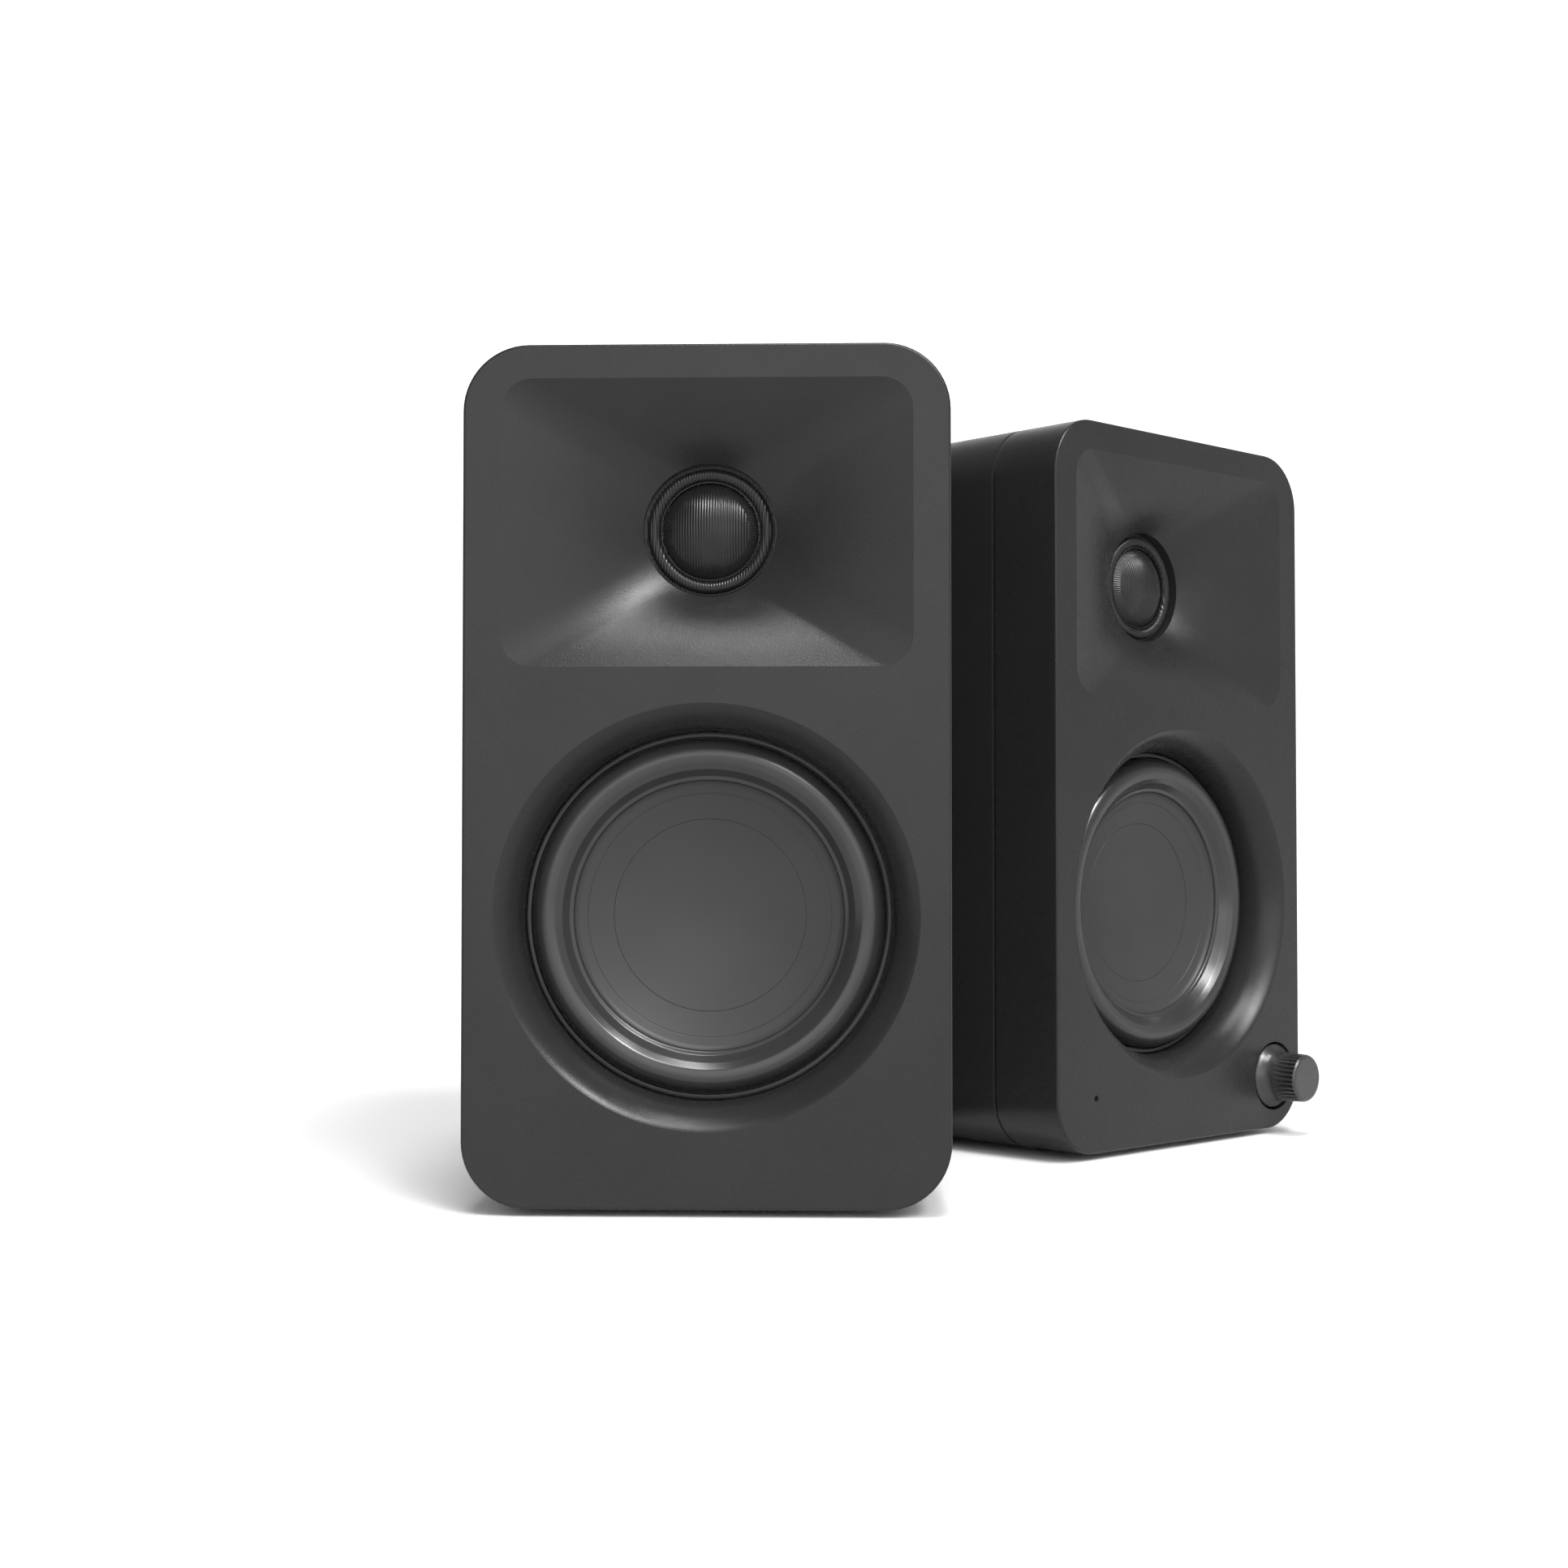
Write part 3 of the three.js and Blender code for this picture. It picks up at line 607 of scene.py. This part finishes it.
def port_tube(side):
    """A straight tube with a flange in the shell, a wide flare outside and a small one inside."""
    low, _ = local_box(f"{side}_port_tube", side)
    inner = low.y
    bore, tube, flange = 13, 15.2, 19.4
    mouth, mouth_depth = 18, 10
    profile = [(flange, DEPTH)]
    profile += [(mouth - (mouth - bore) * math.sin(a), DEPTH - mouth_depth * (1 - math.cos(a)))
                for a in arc(math.pi / 2, 12)]
    profile += [(bore, inner + 4), (15, inner, 0.5), (17, inner, 0.5), (tube, inner + 4.5)]
    profile += [(tube, DEPTH - 7), (flange, DEPTH - 3.5)]
    make(f"{side}_port_moulding", turned(soften(profile), 0, PORT_Z, MEDIUM_ROUND), side, MATERIALS["port"],
         f"{side}_speaker", [f"{side}_port_tube"])


def base_pad(side):
    """A rubber sheet with rounded corners and shallow grip ribs underneath."""
    low, high = local_box(f"{side}_base_pad", side)
    half_width, half_length = (high.x - low.x) / 2, (high.y - low.y) / 2
    middle = (low.y + high.y) / 2
    corner, rib_height = 6, 0.25
    shape = Shape()

    def lying(half_x, half_y, radius, along, up, steps):
        """A rounded rectangle that lies flat."""
        return [(x, along + y, up) for x, _, y in rounded_rectangle(half_x, half_y, radius, 0, 0, 0, steps)]

    rows = ((0.4, rib_height), (0.1, rib_height + 0.1), (0, rib_height + 0.3), (0, BOTTOM - 0.3),
            (0.3, BOTTOM))
    sheet = shape.wall([lying(half_width - inset, half_length - inset, corner, middle, up, 10)
                        for inset, up in rows])
    shape.tip(sheet[0], (0, middle, rib_height))
    shape.tip(sheet[-1], (0, middle, BOTTOM))

    ribs, margin, rib_half, rib_corner = 13, 5, 0.9, 0.85
    rib_reach = half_width - margin
    rib_rows = ((0.3, 0), (0, rib_height / 2), (0, rib_height))
    pitch = 2 * (half_length - margin) / (ribs - 1)
    for i in range(ribs):
        along = middle - half_length + margin + i * pitch
        bar = shape.wall([lying(rib_reach - inset, rib_half - inset, rib_corner - inset, along, up, 6)
                          for inset, up in rib_rows])
        shape.tip(bar[0], (0, along, 0))
        shape.tip(bar[-1], (0, along, rib_height))
    make(f"{side}_rubber_pad", shape, side, MATERIALS["rubber_pad"], f"{side}_speaker",
         [f"{side}_base_pad"])


# ---- Rear panels and what is fixed to them ----
PANEL_THICKNESS = 2.2
SCREW_INSET = 4.5
SOCKET_GAP = 0.3


def panel_screws(side):
    """The middles of a rear panel's corner screws."""
    low, high = local_box(f"{side}_rear_panel", side)
    return [(x, z) for x in (low.x + SCREW_INSET, high.x - SCREW_INSET)
            for z in (low.z + SCREW_INSET, high.z - SCREW_INSET)]


def panel_holes(side):
    """Each hole in a rear panel as a function from an inset and a depth to its outline."""
    jack_radius = 4.4

    def block(half_x, half_z, corner, middle):
        return lambda inset, depth: rounded_rectangle(half_x - inset, half_z - inset, corner - inset, depth,
                                                      middle.x, middle.z, 6)

    def socket(node, corner=0.9):
        _, _, middle, half_x, half_z = local_front(node, side)
        return block(half_x + SOCKET_GAP, half_z + SOCKET_GAP, corner, middle)

    def jack(node):
        middle = local_centre(node, side)
        return lambda inset, depth: circle(jack_radius - inset, depth, middle.x, middle.z, 48)

    if side == "left":
        return [socket("left_link_socket")]
    slot = block(4, 1.5, 0.7, local_centre("crossover_switch", side))
    holes = [socket("right_link_socket"), socket("power_inlet"), socket("usb_socket", 2.0), slot]
    return holes + [jack(node) for node in ("sub_out_jack", "audio_jack_left", "audio_jack_right")]


def rear_panel(side):
    """The panel with its holes and screw seats. The right one has four posts that carry the amplifier."""
    low_y, _, middle, half_width, half_height = local_front(f"{side}_rear_panel", side)
    inner = DEPTH - PANEL_THICKNESS
    corner = 2
    shape = Shape()
    rim = [(inset, DEPTH - drop) for inset, drop in eased(0.25)] + [(0, inner)]
    plate = shape.wall([rounded_rectangle(half_width - inset, half_height - inset, corner - inset, depth,
                                          middle.x, middle.z, 8) for inset, depth in rim])
    hole_edge = [(-inset, DEPTH - drop) for inset, drop in eased(0.2)] + [(0, inner)]
    holes = []
    for outline in panel_holes(side):
        holes.append(shape.wall([outline(inset, depth) for inset, depth in hole_edge]))
    seats = []
    seat_floor = DEPTH - 1.3
    for x, z in panel_screws(side):
        seat = shape.wall(circles([(3.25, DEPTH), (3.05, DEPTH - 0.2), (3, seat_floor)], x, z, 40))
        shape.tip(seat[-1], (x, seat_floor, z))
        seats.append(seat[0])
    shape.fill(plate[0], *[hole[0] for hole in holes], *seats)
    shape.fill(plate[-1], *[hole[-1] for hole in holes])
    if side == "right":
        post_radius, post_x, post_z = 2.4, 21, 33
        for x, z in ((-post_x, -post_z), (-post_x, post_z), (post_x, -post_z), (post_x, post_z)):
            post = shape.wall(circles([(post_radius, inner), (post_radius, low_y)], x, middle.z + z, 24))
            shape.tip(post[0], (x, inner, middle.z + z))
            shape.tip(post[1], (x, low_y, middle.z + z))
    make(f"{side}_panel_plate", shape, side, MATERIALS["panel"], f"{side}_speaker",
         [f"{side}_rear_panel"])


def cross(reach, arm, depth, x, z):
    """The outline of a cross recess."""
    points = []
    for quarter in range(4):
        turn = quarter * math.pi / 2
        for across, up in ((arm, arm), (reach, arm), (reach, -arm)):
            points.append((x + across * math.cos(turn) + up * math.sin(turn), depth,
                           z + up * math.cos(turn) - across * math.sin(turn)))
    return points


def screws(side):
    """Pan-head screws with a cross recess. Each row is a radius, or a reach and an arm, and a drop."""
    head_rows = ((1.9, 0.2), (2.3, 0.32), (2.52, 0.6), (2.6, 0.9), (2.6, 1.25))
    recess_rows = ((1.35, 0.24, 0.2), (1.05, 0.2, 0.9))
    head_floor, recess_floor = DEPTH - 1.25, DEPTH - 1
    for number, (x, z) in enumerate(panel_screws(side)):
        shape = Shape()
        head = shape.wall(circles([(radius, DEPTH - drop) for radius, drop in head_rows], x, z, 36))
        shape.tip(head[-1], (x, head_floor, z))
        recess = shape.wall([cross(reach, arm, DEPTH - drop, x, z) for reach, arm, drop in recess_rows])
        shape.tip(recess[-1], (x, recess_floor, z))
        shape.fill(head[0], recess[0])
        make(f"{side}_panel_screw_{number}", shape, side, MATERIALS["screw"], f"{side}_speaker")


def barrel_socket(node, side):
    """A moulded power socket: a square face, a round well and a nickel pin in it."""
    rear, face, middle, half_x, half_z = local_front(node, side)
    corner, well_depth = 0.8, 9
    shape = Shape()
    rows = [(inset, face - drop) for inset, drop in eased(0.2)] + [(0, rear)]
    outside = shape.wall([rounded_rectangle(half_x - inset, half_z - inset, corner - inset, depth, middle.x,
                                            middle.z, 6) for inset, depth in rows])
    well_rows = ((3.15, 0), (2.9, 0.12), (2.8, 0.4), (2.8, well_depth))
    well = shape.wall(circles([(radius, face - drop) for radius, drop in well_rows], middle.x, middle.z,
                              SMALL_ROUND))
    shape.fill(outside[0], well[0])
    shape.tip(outside[-1], (middle.x, rear, middle.z))
    shape.tip(well[-1], (middle.x, face - well_depth, middle.z))
    make(f"{node}_housing", shape, side, MATERIALS["socket"], f"{side}_speaker", [node])
    pin_rows = ((0, 0.9), (0.5, 0.95), (0.9, 1.3), (1, 1.7), (1, 8.9), (0, 8.9))
    pin = turned([(radius, face - drop) for radius, drop in pin_rows], middle.x, middle.z, TINY_ROUND)
    make(f"{node}_pin", pin, side, MATERIALS["jack"], f"{side}_speaker")


def phono_jack(node, ring_material):
    """A turned jack: a plated sleeve, an insulating ring round the bore, and a round flange on the panel."""
    inner, end, middle, _, _ = local_front(node)
    face, bore_end = end - 0.5, DEPTH - 8.5
    flange_low, flange_high = DEPTH + 0.3, DEPTH + 1.3
    sleeve = [(3.3, end - 0.35, 0.1), (3.55, end, 0.15), (4.1, end, 0.3), (4.1, DEPTH + 1.5),
              (3.9, DEPTH + 1.4), (3.9, inner), (3.3, inner)]
    insulator = [(1.7, face, 0.15), (3.2, face, 0.1), (3.2, bore_end), (1.7, bore_end)]
    flange = [(4.2, flange_low), (5.2, flange_low, 0.1), (5.2, flange_high, 0.3), (4.2, flange_high)]
    for name, profile, material, replaced in (("sleeve", sleeve, MATERIALS["jack"], [node]),
                                              ("insulator", insulator, ring_material, []),
                                              ("flange", flange, MATERIALS["jack"], [])):
        make(f"{node}_{name}", turned(soften(profile), middle.x, middle.z, SMALL_ROUND), "right", material,
             "right_speaker", replaced)


def usb_socket():
    """A drawn steel shell with a tongue that carries two rows of contacts."""
    rear, face, middle, half_x, half_z = local_front("usb_socket")
    skin, lip, well_depth = 0.4, 0.15, 7
    shell = Shape()
    rows = ((0, rear), (0, face - lip), (0.12, face), (0.3, face), (skin, face - lip),
            (skin, face - well_depth))
    rings = shell.wall([rounded_rectangle(half_x - inset, half_z - inset, half_z - inset - 0.02, depth,
                                          middle.x, middle.z, 10) for inset, depth in rows])
    shell.tip(rings[0], (middle.x, rear, middle.z))
    shell.tip(rings[-1], (middle.x, face - well_depth, middle.z))
    make("usb_shell", shell, "right", MATERIALS["jack"], "right_speaker", ["usb_socket"])

    half_tongue, half_thickness, tongue_tip, tongue_root = 3.3, 0.35, face - 0.75, face - 6.9
    tongue = Shape()
    rows = ((0.1, tongue_tip), (0, face - 0.9), (0, tongue_root))
    rings = tongue.wall([rounded_rectangle(half_tongue - inset, half_thickness - inset, 0.15, depth, middle.x,
                                           middle.z, 4) for inset, depth in rows])
    tongue.tip(rings[0], (middle.x, tongue_tip, middle.z))
    tongue.tip(rings[-1], (middle.x, tongue_root, middle.z))
    make("usb_tongue", tongue, "right", MATERIALS["socket"], "right_speaker")

    count, pitch, half_contact, sunk, proud = 12, 0.5, 0.11, 0.02, 0.03
    corners = ((-half_contact, -sunk), (half_contact, -sunk), (half_contact, proud), (-half_contact, proud))
    contacts = Shape()
    for row in (-1, 1):
        for i in range(count):
            x = middle.x + (i - (count - 1) / 2) * pitch
            bar = contacts.wall([[(x + across, depth, middle.z + row * (half_thickness + up))
                                  for across, up in corners] for depth in (face - 1.3, face - 5)])
            contacts.faces += [tuple(bar[0]), tuple(bar[1])]
    make("usb_contacts", contacts, "right", MATERIALS["gold"], "right_speaker")


def crossover():
    """The slide switch: a housing behind the panel's slot, and a tab with a ridged top."""
    rear, face, middle, half_x, half_z = local_front("crossover_switch")
    slot_floor = face - 2.5
    housing = Shape()
    outside = housing.wall([rounded_rectangle(half_x, half_z, 0.6, depth, middle.x, middle.z, 4)
                            for depth in (face, rear)])
    slot = housing.wall([rounded_rectangle(4.3, 1.4, 0.3, depth, middle.x, middle.z, 4)
                         for depth in (face, slot_floor)])
    housing.fill(outside[0], slot[0])
    housing.tip(outside[1], (middle.x, rear, middle.z))
    housing.tip(slot[1], (middle.x, slot_floor, middle.z))
    make("crossover_housing", housing, "right", MATERIALS["socket"], "right_speaker",
         ["crossover_switch"])

    rear, face, middle, half_x, half_z = local_front("crossover_slider")
    ridges, groove = 4, 0.25
    pitch = 2 * half_x / ridges
    ridge = ((0.12, groove), (0.32, 0), (0.68, 0), (0.88, groove))
    outline = [(-half_x, rear)]
    for i in range(ridges):
        outline += [(-half_x + (i + share) * pitch, face - drop) for share, drop in ridge]
    outline.append((half_x, rear))
    tab = Shape()
    ends = tab.wall([[(middle.x + x, depth, middle.z + z) for x, depth in outline]
                     for z in (half_z, -half_z)])
    tab.faces += [tuple(ends[0]), tuple(ends[1])]
    make("crossover_tab", tab, "right", MATERIALS["trim"], "crossover_slider", ["crossover_slider"],
         sharp=20)


# ---- Woofer ----
def dish_depth(radius):
    """The depth of the shallow bowl that the cone and the dust cap form."""
    return DISH["centre_depth"] - (DISH["centre_depth"] - DISH["edge_depth"]) * (radius / DISH["edge"]) ** 2


def dish(start, end, steps):
    return [(r, dish_depth(r)) for r in (start + (end - start) * i / steps for i in range(steps + 1))]


def stretch(piece, side, driver, centre_z, fixed_radius, moving_radius):
    """Bakes the ring's place into its mesh. The driver and the fixed and moving radii are not used."""
    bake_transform(piece)


def trim_ring(side):
    profile = soften([(36.85, 11.3, 0.15), (37.7, 11.3, 0.25), (37.7, 13), (36.85, 13)])
    make(f"{side}_trim_ring", turned(profile, 0, WOOFER_Z), side, MATERIALS["trim"],
         f"{side}_speaker", [f"{side}_woofer_trim_ring"])


def surround(side):
    """The rubber roll. It rides on no body, so its edges stay put when the cone moves."""
    crown, foot, top, base = 33, 36.6, 7.4, 12.5
    face = [(foot, 13)]
    face += [(crown + (foot - crown) * math.cos(a), base - (base - top) * math.sin(a))
             for a in arc(math.pi / 2, 12)]
    face += [(31.5, 7.6, 1.2), (30.1, 8.75, 1.2), (28.75, 10.35, 0.6), (28, 10.65, 0.45), (27.7, 11.4)]
    back = [(28.9, 11.5, 0.3), (30.7, 9.1, 0.3), (32, 8.2, 0.4), (33.2, 8.3, 0.5), (35.2, 12.3, 0.5),
            (35.5, 13)]
    piece = make(f"{side}_rubber_surround", turned(soften(face + back, 6), 0, WOOFER_Z), side,
                 MATERIALS["surround"], None, [f"{side}_woofer_surround"])
    stretch(piece, side, "woofer", WOOFER_Z, 34.3, 28.8)


def spider(side):
    """The corrugated cloth ring behind the cone. It rides on no body, so it stays put when the coil moves."""
    low_y, high_y, _, outer, _ = local_front(f"{side}_woofer_spider", side)
    inner, cloth, waves, steps = 10.5, 0.4, 4, 48
    swing = (high_y - low_y - cloth) / 2
    front = []
    for i in range(steps + 1):
        depth = low_y + swing * (1 - math.cos(2 * math.pi * waves * i / steps))
        front.append((inner + (outer - inner) * i / steps, depth))
    rear = [(radius, depth + cloth) for radius, depth in front[::-1]]
    piece = make(f"{side}_spider_ring", turned(front + rear, 0, WOOFER_Z), side, MATERIALS["spider_cloth"],
                 None, [f"{side}_woofer_spider"])
    stretch(piece, side, "woofer", WOOFER_Z, outer - 1, inner + 0.5)


def cone(side):
    """The cone and its dust cap, which share one bowl. A fine line is pressed into the cone near its edge."""
    lip = [(28.2, 12.4), (28.2, 11.4), (27.7, 11.3)]
    line = [(25.3, dish_depth(25.3)), (25.22, dish_depth(25.22) + 0.07), (25.14, dish_depth(25.14))]
    bowl = dish(27.2, 25.4, 4) + line + dish(25, 20.04, 12)
    seam = dish_depth(20) + 0.12
    back = [(20, seam), (19.7, seam + 0.02), (19.7, 15.4), (10.5, 20.6), (10.5, 21.4), (20.6, 16.3)]
    make(f"{side}_cone_skin", turned(lip + bowl + back, 0, WOOFER_Z), side, MATERIALS["cone"],
         f"{side}_woofer", [f"{side}_woofer_cone"])
    cap = [(0, dish_depth(0)), *dish(1, 19.9, 24), (19.95, dish_depth(19.9) + 0.05), (19.95, seam)]
    cap += [(19.5, 15), (14, 16.8), (0, DISH["centre_depth"] + 0.6)]
    make(f"{side}_cap_skin", turned(cap, 0, WOOFER_Z), side, MATERIALS["cone"], f"{side}_woofer",
         [f"{side}_woofer_dust_cap"])


# ---- Tweeter ----
def dome(side):
    """A spherical cap of cloth."""
    rim, height, radius, skin, steps = 14.9, 4.2, 10, 0.5, 20
    sphere = (radius ** 2 + height ** 2) / (2 * height)
    front = []
    for i in range(steps + 1):
        r = radius * i / steps
        front.append((r, rim - height + sphere - math.sqrt(sphere ** 2 - r * r)))
    rear = [(r, depth + skin) for r, depth in front[::-1]]
    make(f"{side}_silk_dome", turned(front + rear, 0, TWEETER_Z, MEDIUM_ROUND), side, CLOTH[side],
         f"{side}_tweeter", [f"{side}_tweeter_dome"])


def dome_surround(side):
    """The dome's half roll, with a narrow rim outside and a ridge where it meets the dome."""
    crown, half_width, height, foot = 11.8, 1.25, 1.18, 14.7
    ring = [(13.45, 15), (13.45, 14.5, 0.05), (13.15, 14.5, 0.05)]
    ring += [(crown + half_width * math.cos(a), foot - height * math.sin(a)) for a in arc(math.pi, 16)]
    ring += [(10.5, foot), (10.38, 14.05, 0.1), (10.15, 14, 0.1), (10.12, 14.9)]
    piece = make(f"{side}_silk_surround", turned(soften(ring), 0, TWEETER_Z, 120), side, CLOTH[side],
                 None, [f"{side}_tweeter_surround"])
    stretch(piece, side, "tweeter", TWEETER_Z, 13, 10.6)


# ---- Volume knob and indicator ----
def volume_knob():
    """A skirt that flares out from a waist, then a grip whose grooves deepen towards a rounded face."""
    face, rear, _, base, _ = local_front("volume_knob")
    skirt_face, waist_depth, grip_end = 0.1, -3.5, face + 0.95
    waist, tip, deepest_groove = 6.3, 6.05, 0.75
    bore, bore_end = 3, -6
    ribs, points_per_rib, groove_share = 32, 12, 0.3
    count = ribs * points_per_rib

    def grooved(depth, radius, groove):
        """An outline whose grooves are this deep."""
        outline = []
        for i in range(count):
            angle = 2 * math.pi * i / count
            phase = abs((i / points_per_rib) % 1 - 0.5)
            reach = radius - groove * max(0, 1 - phase / groove_share)
            outline.append((KNOB_AT.x + reach * math.cos(angle), depth, KNOB_AT.z + reach * math.sin(angle)))
        return outline

    rows = [(rear, base - 0.3, 0), (rear - 0.3, base, 0), (0.35, base, 0), (skirt_face, base - 0.1, 0)]
    flare_steps, flare_width = 12, base - 0.15 - waist
    for i in range(1, flare_steps + 1):
        t = i / flare_steps
        rows.append((skirt_face + (waist_depth - skirt_face) * t, waist + flare_width * (1 - t) ** 2, 0))
    grip_steps = 10
    for i in range(1, grip_steps + 1):
        t = i / grip_steps
        rows.append((waist_depth + (grip_end - waist_depth) * t, waist + (tip - waist) * t,
                     deepest_groove * t ** 0.7))
    rounded_end = ((0.8, 0.02, 0.3), (0.6, 0.08, 0.05), (0.35, 0.22, 0), (0.15, 0.42, 0), (0.04, 0.66, 0),
                   (0, 0.95, 0), (0, 1.3, 0))
    rows += [(face + drop, tip - inset, groove) for drop, inset, groove in rounded_end]
    shape = Shape()
    outside = shape.wall([grooved(*row) for row in rows])
    shape.tip(outside[-1], (KNOB_AT.x, face, KNOB_AT.z))
    hole = shape.wall(circles([(bore, rear), (bore, bore_end)], KNOB_AT.x, KNOB_AT.z, count))
    shape.bridge(outside[0], hole[0])
    shape.tip(hole[-1], (KNOB_AT.x, bore_end, KNOB_AT.z))
    make("volume_knob_moulding", shape, "right", MATERIALS["knob"], "volume_knob", ["volume_knob"])


def light_pipe():
    """A smoked rod with a slightly domed end. It is wider than the pin-hole and overlaps the wall there."""
    _, rear, _, radius, _ = local_front("led_lens")
    profile = [(0, 1.3), (radius * 0.6, 1.35), (radius, 1.6), (radius, rear), (0, rear)]
    make("indicator_pipe", turned(profile, LED_AT.x, LED_AT.z, TINY_ROUND), "right", MATERIALS["lens"],
         "right_speaker", ["led_lens"])


# ---- The set ----
def stage():
    """A wide white floor, a hair below the pads so that the two never share a plane."""
    size, gap = 60, 0.0004
    bpy.ops.mesh.primitive_plane_add(size=size, location=(0, 0, -gap))
    floor = bpy.context.object
    floor.name = "floor"
    n = Nodes("floor_white")
    n.hold("Base Color", (0.86, 0.86, 0.86, 1))
    n.hold("Roughness", 0.9)
    n.hold("Specular IOR Level", 0.1)
    floor.data.materials.append(n.material)


# Each light is an azimuth and an elevation in degrees, as in toward, and a strength.
SUNS = ((20, 35, 0.42), (42, 35, 0.38), (30, 48, 1.35), (0, 65, 0.8), (30, 78, 1.05))
SUN_ANGLE = 14
# These suns act on reflections only.
GLINTS = ((44, 48, 2.3), (25, 59, 0.8), (5, 66, 0.35))
GLINT_ANGLE = 9
# The room's light is a sum of soft lobes. A higher focus makes each of them narrower.
GLOWS = ((0, 8, 3.3), (45, 8, 0.9), (90, 8, 0.5), (135, 8, 0.62), (180, 8, 1.15), (225, 8, 0.85),
         (180, 48, 0.35))
GLOW_FOCUS = 6


def toward(azimuth, elevation):
    """A direction. Azimuth 0 is straight out of the left speaker's front, and 90 is to the photo's right."""
    a, e = math.radians(azimuth), math.radians(elevation)
    return Vector((math.sin(a) * math.cos(e), -math.cos(a) * math.cos(e), math.sin(e)))


def suns():
    """The lamps. The ones in GLINTS don't light matt surfaces."""
    for number, (azimuth, elevation, energy) in enumerate(SUNS + GLINTS):
        sun = bpy.data.objects.new(f"key_{number}", bpy.data.lights.new(f"key_{number}", "SUN"))
        sun.visible_diffuse = number < len(SUNS)
        sun.data.energy = energy
        sun.data.angle = math.radians(SUN_ANGLE if sun.visible_diffuse else GLINT_ANGLE)
        sun.rotation_euler = toward(azimuth, elevation).to_track_quat("Z", "Y").to_euler()
        bpy.context.scene.collection.objects.link(sun)


def glow():
    """The room's light, made in the world's shader."""
    world = bpy.data.worlds.new("studio")
    world.use_nodes = True
    tree = world.node_tree
    background = tree.nodes["Background"]
    background.inputs["Color"].default_value = (1, 1, 1, 1)
    direction = tree.nodes.new("ShaderNodeTexCoord").outputs["Generated"]
    total = None
    for azimuth, elevation, strength in GLOWS:
        lean = tree.nodes.new("ShaderNodeVectorMath")
        lean.operation = "DOT_PRODUCT"
        lean.inputs[1].default_value = toward(azimuth, elevation)
        tree.links.new(direction, lean.inputs[0])
        value = lean.outputs["Value"]
        for operation, amount in (("MAXIMUM", 0), ("POWER", GLOW_FOCUS), ("MULTIPLY", strength)):
            step = tree.nodes.new("ShaderNodeMath")
            step.operation = operation
            step.inputs[1].default_value = amount
            tree.links.new(value, step.inputs[0])
            value = step.outputs[0]
        if total is not None:
            both = tree.nodes.new("ShaderNodeMath")
            tree.links.new(total, both.inputs[0])
            tree.links.new(value, both.inputs[1])
            value = both.outputs[0]
        total = value
    tree.links.new(total, background.inputs["Strength"])
    bpy.context.scene.world = world


def camera():
    """Level with the drivers, a little right of the left speaker's middle."""
    right, away, up = 0.0284, 0.44668, 0.07326
    tilt, turn = 0.0276, 0.0283
    lens = bpy.data.cameras.new("camera")
    lens.lens = 50.96
    lens.sensor_width = 36
    lens.clip_start = 0.01
    lens.clip_end = 200
    eye = bpy.data.objects.new("camera", lens)
    eye.location = (right, FRONT - away, BOTTOM * MM + up)
    eye.rotation_euler = (math.pi / 2 + tilt, 0, turn)
    bpy.context.scene.collection.objects.link(eye)
    bpy.context.scene.camera = eye


camera()
suns()
glow()
stage()
bpy.context.scene.view_settings.view_transform = "Standard"
finish_cad_nodes()
for side in SIDES:
    front_baffle(side)
    rear_shell(side)
    port_tube(side)
    base_pad(side)
    rear_panel(side)
    screws(side)
    barrel_socket(f"{side}_link_socket", side)
    trim_ring(side)
    surround(side)
    spider(side)
    cone(side)
    dome(side)
    dome_surround(side)
volume_knob()
light_pipe()
barrel_socket("power_inlet", "right")
phono_jack("audio_jack_left", MATERIALS["white_ring"])
phono_jack("audio_jack_right", MATERIALS["red_ring"])
phono_jack("sub_out_jack", MATERIALS["black_ring"])
usb_socket()
crossover()
